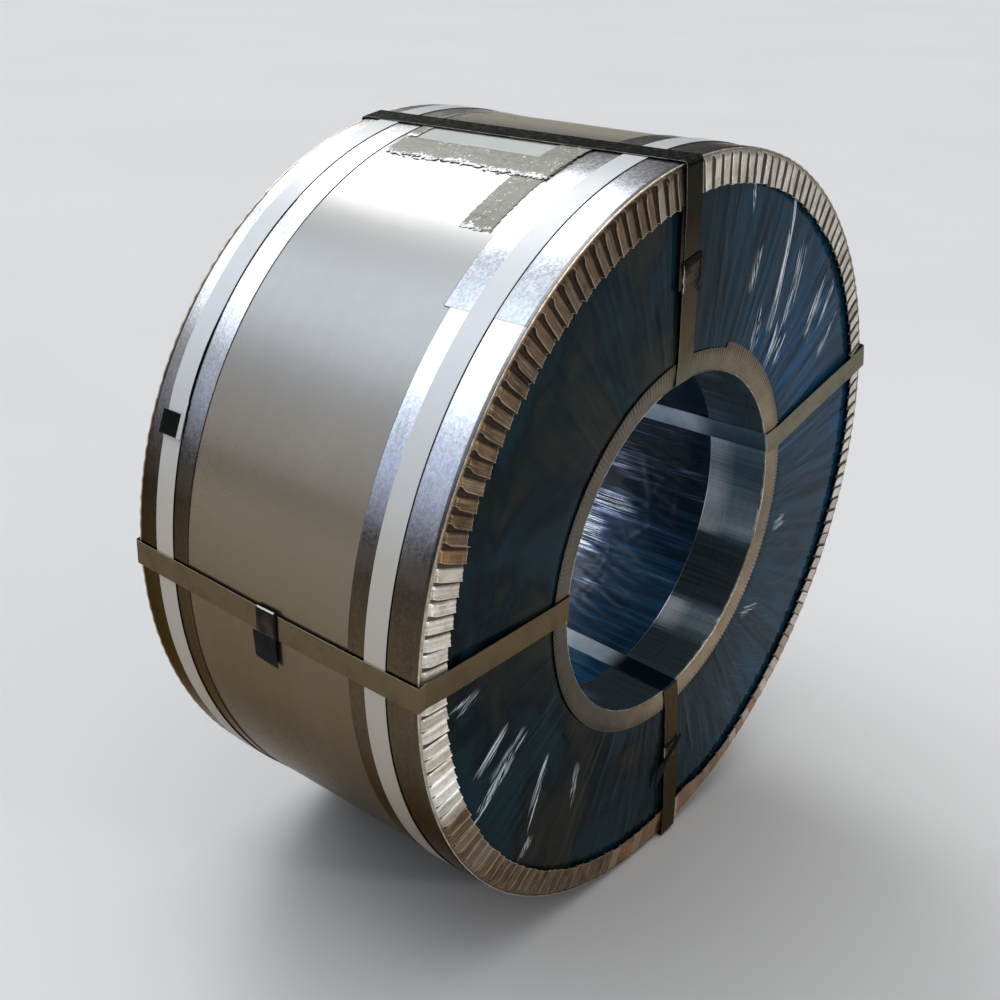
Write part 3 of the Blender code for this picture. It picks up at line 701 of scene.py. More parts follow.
def build_outer_guard(name, node, leg, sign, seed):
    r = np.random.default_rng(seed)
    front = sign > 0
    step = TAU / PLEATS
    pleat = np.repeat(np.arange(PLEATS), PLEAT.shape[1])[:, None]
    base, shape, crest, fold, close, hook, lines = np.tile(PLEAT, PLEATS)[..., None]
    count = len(base)
    shrink, push, ragged, dent, begin, knock = (
        r.uniform(least, most, PLEATS)[pleat]
        for least, most in ((0.0, 0.35), (-0.05, 0.05), (0.0, 0.0018), (-0.0007, 0.0007), (-0.0012, 0.0012), (0.3, 1.0))
    )
    inside = (base > 0.02) & (base < 0.94)
    turn = -math.pi / 2 + step / 2 + step * (pleat + base + np.where(inside, push, 0.0))
    degrees = np.degrees(turn * sign) % 360

    # Two segments lap over the rest of the leg.
    lap = (degrees < 132.4) | (degrees > 306.0) if front else (degrees < 121.7) & (degrees > 20.0)
    end = RIM - leg - np.where(lap, 0.010, 0.0) * front
    outer = GUARD_OUT - np.where(lap, 0.0, 0.0003)
    # Where the lapping pieces show, the back one gets a painted highlight and the front one painted shade.
    seen = lap & (degrees > 60) & (degrees < 140)

    # The flange.
    wider = 0.001 * np.interp(degrees, EDGE_ANGLES, EDGE_WIDER) if front else 0 * degrees
    wide_open = np.interp(degrees, OPEN_ANGLES, OPEN) if front else BACK_OPEN
    share = INWARD / FLANGE_WIDTH
    late = 1 - smooth(INWARD, 0.0065, 0.0170)
    shut = np.maximum(share, 1 - wide_open) + 0.45 * (1 - wide_open)
    slide = np.where(inside, 1.0, 0.0) * (-close * shut - hook * knock * late * wide_open)
    a = (turn + step * slide) * sign
    reach = 1 + wider / FLANGE_WIDTH * smooth(INWARD, 0.008, FLANGE_WIDTH)
    radius = GUARD_OUT - (INWARD + begin * shape * late) * reach
    radius = radius + (ragged + 0.0016 * (0.5 - base)) * smooth(INWARD, 0.034, FLANGE_WIDTH)
    tops = PLEAT_HEIGHT * shape * (1.0 - shrink) * GROW + dent * shape * np.sin(share * math.pi * 1.5)
    face = np.minimum(RIM + FLANGE_LIFT * share + tops, RIM + FLANGE_LIFT + PLEAT_HEIGHT)

    # Round the section: the leg, the bend with its small ripples, the flange's outside and inside, the leg's inside.
    straight = turn * sign
    ripple = 0.0004 * (0.4 + 0.6 * knock) * np.cos(TAU * (base + 0.3 * knock))
    sections = [
        (straight, columns(count, outer - 0.0003, outer, outer, outer, outer),
         columns(count, end, end + 0.0004, end + 0.0014, RIM - 0.0062, RIM - 0.0052)),
        (straight, columns(count, outer - 0.0012, outer - 0.0012, GUARD_OUT - 0.0006 + ripple,
                           GUARD_OUT - 0.0007 + ripple, GUARD_OUT - 0.0017 + ripple, GUARD_OUT - 0.0028),
         columns(count, RIM - 0.0040, RIM - 0.0020, RIM - 0.0004 + ripple, RIM + 0.0006 + ripple,
                 RIM + 0.0013 + ripple, RIM + 0.0001)),
        (a, radius, face),
        (a[:, ::-2], radius[:, ::-2], (face - GUARD_THICK)[:, ::-2]),
        (straight, np.array([[GUARD_IN - 0.0010, GUARD_IN, GUARD_IN]]), columns(count, 0.2560, 0.2545, end)),
    ]
    points = np.concatenate([place(x, y, sign * z) for x, y, z in sections], 1)
    nv = points.shape[1]
    flange, inner, bead = np.zeros((3, nv))
    flange[11:22], inner[11:22], inner[22:-3], bead[7:10] = 1, share, 1, 1
    blush = r.normal(0, 0.14, PLEATS)[pleat]
    if front:
        tone = np.interp(degrees, RUST_AND_SHEEN_ANGLES, RUST_AND_SHEEN)
        tone = np.where(tone > 0.05, np.maximum(tone + blush, 0.08), tone)
        orange = np.interp(degrees, ORANGE_ANGLES, ORANGE)
    else:
        tone, orange = BACK_STAIN + blush, 0 * degrees
    data = {
        "crest_highlight": (crest + lines * (1 - np.clip(tone, 0, 1))) * flange, "tone": tone, "orange": orange,
        "fold": fold * flange, "inward": inner, "bead": bead, "lap_highlight": seen & (not front), "lap_shade": seen & front,
    }
    piece = ring(name, points, zinc, "galvanised_guard", replaces=[node], sharp=50.0, data=data)
    add_skin(piece, pleat_skin, count, nv)


# How much reflection is painted on the leg inside the bore at an angle, from 0 to 1, how rosy the flange is there,
# which is partly painted reflection, and how much wider it is, in millimetres.
SHEEN_ANGLES = [-90, -62, -55, -48, -44, -22, -16, -8, 5, 15, 25, 60, 120, 270]
SHEEN = [0.08, 0.10, 0.42, 0.36, 0.08, 0.10, 0.62, 0.42, 0.28, 0.36, 0.20, 0.14, 0.16, 0.08]
ROSY_ANGLES = [0, 20, 40, 60, 90, 120, 170, 200, 240, 258, 275, 325, 345, 360]
ROSY = [0.5, 0.8, 0.55, 0.4, 0.25, 0.15, 0.15, 0.05, 0.15, 0.5, 1, 0.9, 0.5, 0.5]
INNER_ANGLES = [0, 30, 73, 73.4, 100, 180, 260, 320, 360]
INNER_WIDER = [0, 2, 7, -2, -1, -1.5, -1, 1, 0]
INNER_OUTWARD = np.array([0.0024, 0.0038, 0.0062, 0.0110, 0.0170, 0.0230, 0.0290, 0.0320, INNER_EDGE - LEG_IN])
INNER_GROW = np.array([0.0, 0.05, 0.12, 0.22, 0.35, 0.60, 0.90, 1.0, 1.0])


# The guards of the bore's edges.
def build_inner_guard(name, node, sign, seed):
    r = np.random.default_rng(seed)
    front = sign > 0
    per = 6
    count = FLUTES * per
    k = np.arange(count)[:, None]
    u = k / count
    angle = u * TAU
    degrees = np.degrees(angle)
    flute = (0.5 - 0.5 * np.cos(TAU * (k % per) / per)) * (1.0 - r.uniform(0.0, 0.5, FLUTES))[k // per]
    width = INNER_EDGE - LEG_IN
    lap = np.interp(degrees, INNER_ANGLES, INNER_WIDER) * 0.001 * front
    at_edge = smooth(INNER_OUTWARD, 0.020, width)
    radius = LEG_IN + INNER_OUTWARD + (0.0006 * (wave_noise(u, 0, 31, 1, seed + 1) - 1) + lap) * at_edge
    sink = -0.0010 * (1 - flute) * INNER_GROW
    gap = smooth(degrees, 98, 108) * (1 - smooth(degrees, 225, 240)) * front
    curl = 0.0012 * gap * smooth(INNER_OUTWARD, 0.018, width)
    face = RIM + INNER_LIFT * (INNER_OUTWARD / width) + sink - 0.0012 * at_edge + curl
    wobble = 0.0002 * wave_noise(u, 0, 140, 1, seed + 3)
    start = RIM - INNER_LEG
    sections = [
        (angle, np.array([[LEG_IN + 0.0002, LEG_IN, LEG_IN, LEG_IN, LEG_IN]]),
         np.array([[start, start + 0.0003, start + 0.0012, RIM - 0.0052, RIM - 0.0042]])),
        (angle, columns(count, LEG_IN + 0.0005, LEG_IN - 0.0003 + wobble, LEG_IN - 0.0002 + wobble,
                        LEG_IN + 0.0006 + wobble, LEG_IN + 0.0015),
         columns(count, RIM - 0.0030, RIM - 0.0016 + wobble, RIM - 0.0003 + wobble, RIM + 0.0004 + wobble,
                 RIM - 0.0006)),
        (angle, radius, face),
        (angle, radius[:, ::-2], (face - INNER_THICK)[:, ::-2]),
        (angle, np.full((1, 2), LEG_OUT), np.array([[RIM - 0.0020, start]])),
    ]
    points = np.concatenate([place(x, y, sign * z) for x, y, z in sections], 1)
    nv = points.shape[1]
    bead, fluted = np.zeros(nv), np.ones((count, nv))
    bead[6:9] = 1
    fluted[:, 10:19] = 1 - (1 - flute) * INNER_GROW
    data = {
        "tone": np.interp(degrees, ROSY_ANGLES, ROSY),
        "sheen": np.interp((degrees + 90) % 360 - 90, SHEEN_ANGLES, SHEEN), "flute": fluted, "bead": bead,
    }
    piece = ring(name, points, leg_skin, "galvanised_guard", replaces=[node], sharp=50.0, data=data)
    add_skin(piece, inner_skin, count, nv)


# The film: both faces with creases that run outwards, and the bore.
# Bundles of sharp creases, along which highlights are painted: angle and radius where each starts and ends, how many
# lines and how broad, in metres.
BUNDLES = [
    (54.5, 0.318, 63.4, 0.5, 11, 0.005), (48.0, 0.35, 56.2, 0.478, 10, 0.0055), (36.5, 0.378, 41.5, 0.462, 7, 0.005),
    (34.0, 0.41, 38.2, 0.48, 6, 0.004), (76.2, 0.45, 77.9, 0.505, 5, 0.0035), (69.5, 0.35, 70.9, 0.428, 4, 0.006),
    (47.0, 0.278, 51.5, 0.362, 9, 0.006), (58.0, 0.28, 62.0, 0.34, 7, 0.006), (28.0, 0.4, 31.0, 0.47, 3, 0.008),
    (43.0, 0.3, 45.0, 0.345, 3, 0.006), (207.0, 0.385, 209.5, 0.478, 8, 0.0045), (203.5, 0.35, 206.5, 0.455, 6, 0.005),
    (218.5, 0.345, 224.5, 0.43, 8, 0.005), (233.0, 0.325, 238.0, 0.398, 6, 0.0055),
    (228.5, 0.445, 229.0, 0.486, 7, 0.0045), (198.5, 0.38, 203.0, 0.47, 4, 0.006), (318.0, 0.3, 322.0, 0.345, 3, 0.008),
    (345.0, 0.3, 350.0, 0.35, 3, 0.008), (186.0, 0.42, 187.0, 0.48, 3, 0.006),
]
SOFT_FOLDS = 260


def crease_field(angle, radius, seed):
    """Heights of soft folds between bore and rim, of sharp creases and of their veil, all from 0 to about 1. The sharp
    creases and the veil also mark where highlights are painted.
    """
    r = np.random.default_rng(seed)
    soft, sharp, veil = (np.zeros(np.broadcast(angle, radius).shape) for _ in range(3))

    def add(field, line, width, begin, end, tall):
        away = (angle - line + math.pi) % TAU - math.pi
        across = away * radius / np.where(away > 0, width * 0.5, width)
        bump = np.exp(-np.clip(across ** 2, 0, 30)) * smooth(radius, begin, begin + 0.02)
        bump = bump * (1 - smooth(radius, end - 0.02, end))
        return np.maximum(field, np.where(np.abs(away) < 0.06, tall * bump, 0))

    for k in range(SOFT_FOLDS):
        at, lean, bow = r.uniform(0, TAU), r.normal(0, 0.10), r.normal(0, 0.6)
        begin = r.uniform(0.24, 0.44)
        line = at + lean * (radius - 0.4) + bow * (radius - 0.4) ** 2
        soft = add(soft, line, r.uniform(0.0020, 0.0060), begin, begin + r.uniform(0.05, 0.22), r.uniform(0.05, 0.5))
    for t0, r0, t1, r1, lines, spread in BUNDLES:
        t = (radius - r0) / (r1 - r0)
        for k in range(lines):
            aside = (r.normal(0, spread) + 0.004 * (t - 0.5) * r.normal()) / radius
            begin = r0 + r.uniform(-0.05, 0.40) * (r1 - r0)
            end = begin + r.uniform(0.35, 0.85) * (r1 - r0) + 0.02
            line = np.radians(t0 + (t1 - t0) * t) + aside
            sharp = add(sharp, line, r.uniform(0.0011, 0.0018), begin, end, r.uniform(0.35, 1.0))
        middle = np.radians(t0 + (t1 - t0) * (radius - r0) / (r1 - r0))
        veil = add(veil, middle, 1.8 * spread, r0, r1, 0.30)
    return soft, sharp, veil


def build_face_film(name, sign, nu, rows, seed):
    angle = (np.arange(nu) / nu * TAU)[:, None]
    radius = np.linspace(COIL_R, FACE_FILM_IN, rows)
    slant = (radius - 0.38)[None, :]
    a, rad = np.broadcast_arrays(angle + slant, radius[None, :])
    u, v = a / TAU, (rad - FILM_BORE) / (COIL_R - FILM_BORE)
    folds, sharp, veil = crease_field(a, rad, seed)
    soft = wave_noise(u, v, 90, 3, seed + 1) * 0.5 + wave_noise(u, v, 230, 4, seed + 2) * 0.35
    free = smooth(rad, 0.262, 0.300) * (1 - smooth(rad, 0.480, 0.510))
    face = FILM_FACE + (0.0010 + 0.0013 * folds + 0.0016 * sharp + 0.0008 * (soft + 0.8)) * free
    points = np.concatenate([
        place(a, rad, sign * face),
        place(angle + slant[:, [-1, 0]], np.array([[FACE_FILM_IN, COIL_R]]), sign * FILM_INSIDE),
    ], 1)
    crease_highlight = np.concatenate([np.maximum(sharp, veil) * smooth(rad, 0.262, 0.285), np.zeros((nu, 2))], 1)
    ring(name, points, film_skin, "blue_film", replaces=["end_film"], sharp=60.0, data={"crease_highlight": crease_highlight})


# Folds in the bore, from an angle in degrees and a height to another, and how wide. Then patches of painted
# highlight: angle, how wide, height, how long, and how strong.
BORE_FOLDS = [((-30, 0.09), (2, 0.04), 0.003), ((-22, 0.06), (-4, 0.09), 0.0025), ((-34, 0.05), (-20, 0.10), 0.0025)]
BORE_SHINE = [(-21, 5, -0.005, 0.050, 1.2), (-35, 10, -0.030, 0.032, 1.2), (-4, 13, 0.010, 0.050, 0.36),
              (-52, 8, 0.015, 0.030, 0.34)]


def fold_line(angle, height, start, end, wide):
    """A soft ridge between two places in the bore, each an angle in degrees and a height."""
    x, y = angle * FILM_BORE, height
    x0, y0 = math.radians(start[0]) * FILM_BORE, start[1]
    x1, y1 = math.radians(end[0]) * FILM_BORE, end[1]
    length = math.hypot(x1 - x0, y1 - y0)
    along = ((x - x0) * (x1 - x0) + (y - y0) * (y1 - y0)) / length
    across = ((x - x0) * (y1 - y0) - (y - y0) * (x1 - x0)) / length
    ends = smooth(along, -0.01, 0.03) * (1 - smooth(along, length - 0.03, length + 0.01))
    return np.exp(-np.clip((across / wide) ** 2, 0, 30)) * ends


def build_bore_film():
    nu, rows = 800, 84
    angle = (np.arange(nu) / nu * TAU)[:, None]
    edge = FILM_FACE - 0.0002
    a, h = np.broadcast_arrays(angle, np.linspace(edge, -edge, rows)[None, :])
    u, v = a / TAU, (h + FILM_FACE) / (2 * FILM_FACE)
    free = 1 - smooth(np.abs(h), 0.120, 0.160)
    drift = 0.10 * (v - 0.5)
    ripple = wave_noise(u + drift, v, 170, 3, 31) + 0.5 * wave_noise(u - 0.7 * drift, v, 330, 4, 32)
    swell = wave_noise(u + 2 * drift, v, 26, 5, 33)
    near = (a + math.pi) % TAU - math.pi
    branch, shine = np.zeros(a.shape), np.zeros(a.shape)
    for fold in BORE_FOLDS:
        branch = np.maximum(branch, fold_line(near, h, *fold))
    for at, wide, deep, long, tall in BORE_SHINE:
        shine = np.maximum(shine, tall * np.exp(-((np.degrees(near) - at) / wide) ** 2 - ((h - deep) / long) ** 2))
    inward = free * (0.0006 * (1.5 + ripple) + 0.0011 * (1 + swell)) + 0.0010 * branch * free
    points = np.concatenate([place(a, FILM_BORE - inward, h), place(angle, FILM_WALL, np.array([[-edge, edge]]))], 1)
    data = {"shine": np.concatenate([shine, np.zeros((nu, 2))], 1)}
    ring("film_bore", points, bore_film(), "blue_film", sharp=60.0, data=data)


# Bands: a flat section with rounded edges, swept along a line.
def band(name, centre, outward, across, width, material, closed, **more):
    """centre, outward and across hold a point or direction for each place along the band."""
    w, t, c = np.full((len(centre), 1), width / 2), STRAP_T, STRAP_BEVEL
    side = np.concatenate([-w, -w + c, w - c, w, w, w - c, -w + c, -w], 1)
    rise = np.array([c, 0, 0, c, t - c, t, t, t - c])
    points = centre[:, None, :] + across[:, None, :] * side[..., None] + outward[:, None, :] * rise[None, :, None]
    slot = "white_band" if material == white_band else "dark_band"
    build = ring if closed else strip
    build(name, points, material, slot, sharp=40.0, data={"edge": np.array([1, 1, 1, 1, 1, 0, 0, 1])}, **more)


def girth(name, angle, radius, height, width, closed, **more):
    """A strap round the barrel, or a piece of one."""
    across = np.tile(FORWARD, (len(angle), 1))
    band(name, place(angle, radius, height), outwards(angle), across, width, white_band, closed, **more)


def full_girth(name, node, height, wander, raised):
    """wander is how far the strap strays along the axis at an angle, raised how far it stands off, in mm."""
    angle = np.arange(624) / 624 * TAU
    drift = 0.001 * np.interp(np.degrees(angle), *wander)
    drift = (drift + np.roll(drift, 6) + np.roll(drift, -6)) / 3
    off = 0.001 * np.interp(np.degrees(angle), *raised)
    girth(name, angle, GIRTH_IN + off, height + drift, STRAP_W, True, replaces=[node])


def arc(centre, radius, start, end, steps):
    turns = [start + (end - start) * k / steps for k in range(steps + 1)]
    return [(centre[0] + radius * math.cos(t), centre[1] + radius * math.sin(t)) for t in turns]


def tie_stations(rim_back, rim_front, rim_face, guard, bore_front, bore_back, barrel=()):
    """Radius, height and angle at each bend of a tie, from the front rim over the face and back."""
    rim = arc((TIE_IN - RIM_BEND, RIM + 0.0025), RIM_BEND, 0.0, math.pi / 2, 6)
    bore = arc((TIE_BORE + BORE_BEND, RIM - 0.0012), BORE_BEND, math.pi / 2, math.pi, 5)
    share = (TIE_IN - FLANGE_EDGE) / (TIE_IN - INNER_EDGE)

    def half(rim_barrel, rim_over, at_guard, in_bore):
        rows = [(r, h, rim_barrel + (rim_over - rim_barrel) * k / 6) for k, (r, h) in enumerate(rim)]
        rows.append((FLANGE_EDGE, RIM + FLANGE_LIFT + PLEAT_HEIGHT + FIT, rim_over + (at_guard - rim_over) * share))
        rows.append((INNER_EDGE, RIM + INNER_LIFT + FIT, at_guard))
        return rows + [(r, h, at_guard + (in_bore - at_guard) * (0.5 + 0.1 * k)) for k, (r, h) in enumerate(bore)]

    rows = half(rim_front, rim_face, guard, bore_front)
    rows += [(r, -h, turn) for r, h, turn in reversed(half(rim_back, rim_back, bore_back, bore_back))]
    return np.array(rows + [(TIE_IN, height, turn) for height, turn in barrel])


def tie(name, node, *bends):
    stations = tie_stations(*bends)
    points = []
    for first, second in zip(stations, np.roll(stations, -1, 0)):
        count = max(1, int(math.ceil(np.linalg.norm((second - first)[:2]) / 0.010)))
        points += [first + (second - first) * k / count for k in range(count)]
    line = np.array(points)
    radius, height, angle = line[:, 0], line[:, 1], np.radians(line[:, 2])
    tangent = np.roll(line, -1, 0)[:, :2] - np.roll(line, 1, 0)[:, :2]
    tangent /= np.linalg.norm(tangent, axis=1)[:, None]
    c, s, zero = np.cos(angle), np.sin(angle), 0 * angle
    radial, side = np.stack([c, zero, s], -1), np.stack([-s, zero, c], -1)
    normal = tangent[:, 1:] * radial - tangent[:, :1] * FORWARD
    if (normal[0] * radial[0]).sum() < 0:
        normal = -normal
    band(name, place(angle, radius, height), normal, side, STRAP_W, dark_band, True, replaces=[node])


# Seals, strap ends, the label and its tapes.
def frame_at(degrees, radius, height):
    """A point with the outward and the crosswise direction there."""
    turn = math.radians(degrees)
    c, s = math.cos(turn), math.sin(turn)
    return place(turn, radius, height), np.array([c, 0.0, s]), np.array([-s, 0.0, c])


def sleeve(name, node, at, along, across, outward, length, width, tall, seed, crumpled, lit):
    """A crimped clip over a strap: two pinched places along it, a crushed top and both sides folded down."""
    u, v = np.linspace(-0.5, 0.5, 40)[:, None], np.linspace(-0.5, 0.5, 30)[None, :]
    pinch = np.exp(-((np.abs(u) - 0.21) / 0.045) ** 2)
    crush = wave_noise(u * 0.98 + 0.5, v + 0.5, 8, 7, seed)
    crush = crush + 0.6 * wave_noise(u * 0.98 + 0.5, v + 0.5, 17, 13, seed + 1)
    wide = width * (1 - 0.07 * pinch + 0.012 * crush * smooth(np.abs(v), 0.3, 0.5))
    down = -0.0022 * smooth(np.abs(v), 0.43, 0.46)
    grid = at + (u * length)[..., None] * along + (v * wide)[..., None] * across + down[..., None] * outward
    shoulder = smooth(np.abs(v), 0.40, 0.5)
    top = tall * (1 - 0.55 * shoulder) * (1 - 0.30 * pinch) + crumpled * crush - down
    # The side that faces the light, chosen by lit, is marked for a painted highlight.
    side = smooth(lit * v, 0.40, 0.46) * np.ones_like(u)
    data = {"edge": np.concatenate([side.ravel(), 0 * side.ravel()])}
    shell(name, grid, np.maximum(top, 0.0006)[..., None], seal_skin, "seal_steel",
          outward=np.broadcast_to(outward, grid.shape), replaces=[node], data=data, sharp=45.0)


def plate(name, corners, material, slot, thick=0.0010, swell=0.0, seed=1, n=16, **more):
    """A thin plate between four corners, given in order round it, with small waves."""
    a, b, c, d = corners
    u, v = np.linspace(0, 1, n)[:, None, None], np.linspace(0, 1, n)[None, :, None]
    grid = a * (1 - u) * (1 - v) + b * u * (1 - v) + c * u * v + d * (1 - u) * v
    outward = np.cross(b - a, d - a)
    outward /= np.linalg.norm(outward)
    middle = (a + b + c + d) / 4 - np.array([0, 0, AXIS])
    if (outward * (middle * [1, 0, 1] + FORWARD * 0.4)).sum() < 0:
        outward = -outward
    waves = wave_noise(u[..., 0] * 0.98, v[..., 0], 4, 4, seed)
    grid = grid + (swell * waves)[..., None] * outward
    shell(name, grid, thick, material, slot, outward=np.broadcast_to(outward, grid.shape), sharp=50.0, **more)


def on_barrel(*corners):
    """Points on the barrel: angle in degrees, how far behind the rim, and radius."""
    return [place(math.radians(degrees), above, RIM - setback) for degrees, setback, above in corners]


def on_face(degrees, *corners):
    """Points over the front face beside a tie: radius, how far to the side, and how far over the rim."""
    found = []
    for radius, aside, above in corners:
        at, radial, across = frame_at(degrees, radius, RIM + above)
        found.append(at + across * aside)
    return found


def sheet_on_barrel(name, node, angles, heights, above, thick, material, slot, nu, nv, seed, ragged, swell):
    """A thin sheet stuck to the barrel, with uneven edges and small waves."""
    (a0, a1), (h0, h1) = np.radians(angles), heights
    u, v = np.linspace(0, 1, nu)[:, None], np.linspace(0, 1, nv)[None, :]
    rough_u = wave_noise(v, 0.5, max(3, nv // 2), 1, seed)
    rough_v = wave_noise(u * 0.98, 0.5, max(3, nu // 2), 1, seed + 1)
    angle = a0 + (a1 - a0) * u + ragged[0] * rough_u * (u ** 6) + ragged[1] * rough_u * ((1 - u) ** 6)
    height = h0 + (h1 - h0) * v + ragged[2] * rough_v * ((1 - v) ** 6) + ragged[3] * rough_v * (v ** 6)
    bumps = (1 + wave_noise(u * 0.98, v, max(3, nu // 4), max(3, nv // 4), seed + 2)) / 2
    bumps = bumps * smooth(np.minimum(np.minimum(u, 1 - u) * nu, np.minimum(v, 1 - v) * nv), 0, 2)
    edge = 1 - smooth((1 - u) * np.abs(a1 - a0) * above, 0.002, 0.014) * np.ones_like(v)
    data = {"crinkle": np.concatenate([edge.ravel(), edge.ravel()])}
    shell(name, place(angle, above + swell * bumps, height), thick, material, slot, outward=outwards(angle),
          data=data, sharp=60.0, replaces=node)


def torn_scraps(name, count, seed):
    """Scraps of torn tape that stand up along the tape's far edge, all in one mesh."""
    r = np.random.default_rng(seed)
    points, faces, total = [], [], 0
    for k in range(count):
        at, height = 108.35 + 0.35 * r.normal(), LABEL_LOW + 0.010 + (k + r.uniform(0.1, 0.9)) / count * 0.250
        long, wide, rise = r.uniform(0.006, 0.016), r.uniform(0.002, 0.0055), r.uniform(0.0004, 0.0012)
        u, v = np.linspace(0, 1, 9)[:, None], np.linspace(-0.5, 0.5, 5)[None, :]
        lean = r.uniform(-0.5, 0.5)
        narrow = np.sin(math.pi * np.clip(u, 0.04, 0.96)) ** 0.6
        narrow = narrow * (1 + 0.3 * wave_noise(u * 0.9, v + 0.5, 5, 3, seed + k))
        turn = math.radians(at) + (wide * v * narrow + lean * long * (u - 0.5)) / WRAP_OUT
        above = 0.5406 + 0.0010 * (1 - smooth(np.degrees(turn), 108.2, 108.5))
        above = above + rise * np.sin(math.pi * u) * (0.5 + v)
        above = above + 0.0006 * wave_noise(u * 0.9, v + 0.5, 6, 3, seed + 50 + k)
        p, f = shell_parts(place(turn, above, height + long * (u - 0.5)), SCRAP_T, None)
        points.append(p)
        faces.append(f + total)
        total += len(p)
    make(name, np.concatenate(points), np.concatenate(faces), torn_skin, "packing_tape", sharp=60.0)


build_wrap()
build_outer_guard("guard_front", "outer_guard_front", FRONT_LEG, 1, 21)
build_outer_guard("guard_back", "outer_guard_back", BACK_LEG, -1, 22)
build_inner_guard("bore_guard_front", "inner_guard_front", 1, 41)
build_inner_guard("bore_guard_back", "inner_guard_back", -1, 45)
build_face_film("film_front", 1, 2200, 38, 51)
build_face_film("film_back", -1, 900, 26, 61)
build_bore_film()

FRONT_WANDER = ([0, 90, 165, 195, 230, 280, 360], [0, 0.5, 0, -1.5, -3, -1, 0])
BACK_WANDER = ([0, 90, 125, 150, 163, 178, 215, 280, 360], [0, -5, -5, -4, 1.5, 7, 7, 2, 0])
BACK_RAISED = ([0, 140, 147, 153, 156, 158, 360], [0, 0, 1.4, 1.4, 0.6, 0, 0])
full_girth("girth_front", "girth_strap_front", FRONT_GIRTH, FRONT_WANDER, ([0, 360], [0, 0]))
full_girth("girth_back", "girth_strap_back", BACK_GIRTH, BACK_WANDER, BACK_RAISED)
girth("girth_back_lap", np.radians(np.linspace(154.6, 160.2, 30)), GIRTH_OUT + 0.0001, BACK_GIRTH - 0.0006,
      STRAP_W - 0.001, False)

tie("tie_top", "tie_strap_top", 97.4, 96.3, 96.9, 95.9, 96.3, 96.3)
LEFT_BARREL = ((-0.02, 179.8), (0.0275, 180.0), (0.10, 180.2))
tie("tie_left", "tie_strap_left", 178.8, 180.4, 179.6, 179.8, 179.5, 179.5, LEFT_BARREL)
tie("tie_bottom", "tie_strap_bottom", 281.0, 277.1, 276.8, 277.9, 277.4, 284.0)
tie("tie_right", "tie_strap_right", 17.0, 17.0, 17.0, 18.6, 20.5, 20.0)

# The seal on the barrel, with the strap's tail folded down below it. The tail and a gap at the clip's front end are
# painted near black as shade, and a white strip along the top edge is a painted highlight.
at, radial, across = frame_at(179.9, TIE_IN + 0.0012, RIM - 0.2560)
sleeve("clip_left", "tie_seal_left", at, FORWARD, across, radial, 0.034, 0.040, 0.0018, 5, 0.00025, -1)
plate("clip_left_slot_shadow", on_barrel((178.0, 0.2400, 0.5450), (182.0, 0.2400, 0.5450), (182.0, 0.2358, 0.5446),
                                  (178.0, 0.2358, 0.5446)), end_skin, "seal_steel", thick=0.0022, n=6)
plate("tail_left", on_barrel((181.9, 0.2385, 0.5450), (186.6, 0.2400, 0.5442), (186.2, 0.2820, 0.5438),
                             (181.9, 0.2820, 0.5446)), end_skin, "seal_steel", swell=0.0003, seed=3)
plate("rim_left_highlight", on_barrel((177.75, 0.2400, 0.5452), (177.75, 0.2700, 0.5452), (178.0, 0.2700, 0.5455),
                            (178.0, 0.2400, 0.5455)), torn_skin, "seal_steel", thick=0.0006, n=8)

# The seal at the top of the face: a fold painted near black as shade, a crumpled clip, an ear, also in painted shade,
# and the strap's end that shows beside it.
at, radial, across = frame_at(96.2, 0.398, RIM + 0.0072)
sleeve("clip_top", "tie_seal_top", at, radial, across, FORWARD, 0.036, 0.039, 0.0016, 15, 0.0006, 1)
plate("clip_top_fold", on_face(96.2, (0.421, 0.0185, 0.0086), (0.426, -0.0185, 0.0086), (0.417, -0.0185, 0.0102),
                               (0.412, 0.0185, 0.0102)), end_skin, "seal_steel", thick=0.0012, n=10)
plate("clip_top_ear", on_face(96.2, (0.414, -0.0180, 0.0082), (0.408, -0.0300, 0.0060), (0.366, -0.0290, 0.0050),
                              (0.372, -0.0180, 0.0076)), end_skin, "seal_steel", swell=0.0005, seed=4)
plate("end_top", on_face(96.9, (0.385, 0.0215, 0.0052), (0.385, -0.010, 0.0052), (0.492, -0.010, 0.0070),
                         (0.492, 0.0215, 0.0070)), dark_band, "dark_band", swell=0.0004, seed=6)

# The seal at the bottom of the face: a fold across the strap and a tail that hangs beside it, both painted near black
# as shade.
at, radial, across = frame_at(277.4, 0.374, RIM + 0.0070)
sleeve("clip_bottom", "tie_seal_bottom", at, radial, across, FORWARD, 0.030, 0.039, 0.0016, 25, 0.0005, -1)
plate("clip_bottom_fold", on_face(277.4, (0.381, -0.0210, 0.0086), (0.354, 0.0215, 0.0090), (0.360, 0.0215, 0.0104),
                                  (0.390, -0.0200, 0.0100)), end_skin, "seal_steel", thick=0.0012, n=10)
plate("tail_bottom", on_face(277.4, (0.376, -0.0165, 0.0080), (0.392, -0.0380, 0.0060), (0.432, -0.0430, 0.0050),
                             (0.404, -0.0190, 0.0072)), end_skin, "seal_steel", swell=0.0004, seed=8)

# The girth strap's seal: a black clip with a pale edge at its front.
plate("clip_girth", on_barrel((156.5, 0.4550, 0.5450), (156.5, 0.4900, 0.5446), (159.9, 0.4900, 0.5446),
                              (159.9, 0.4550, 0.5450)), end_skin, "seal_steel", thick=0.0012, n=12,
      replaces=["girth_seal_back"])
plate("clip_girth_edge", on_barrel((156.5, 0.4480, 0.5436), (156.5, 0.4546, 0.5452), (159.9, 0.4546, 0.5452),
                                   (159.9, 0.4480, 0.5436)), white_band, "white_band", n=8)

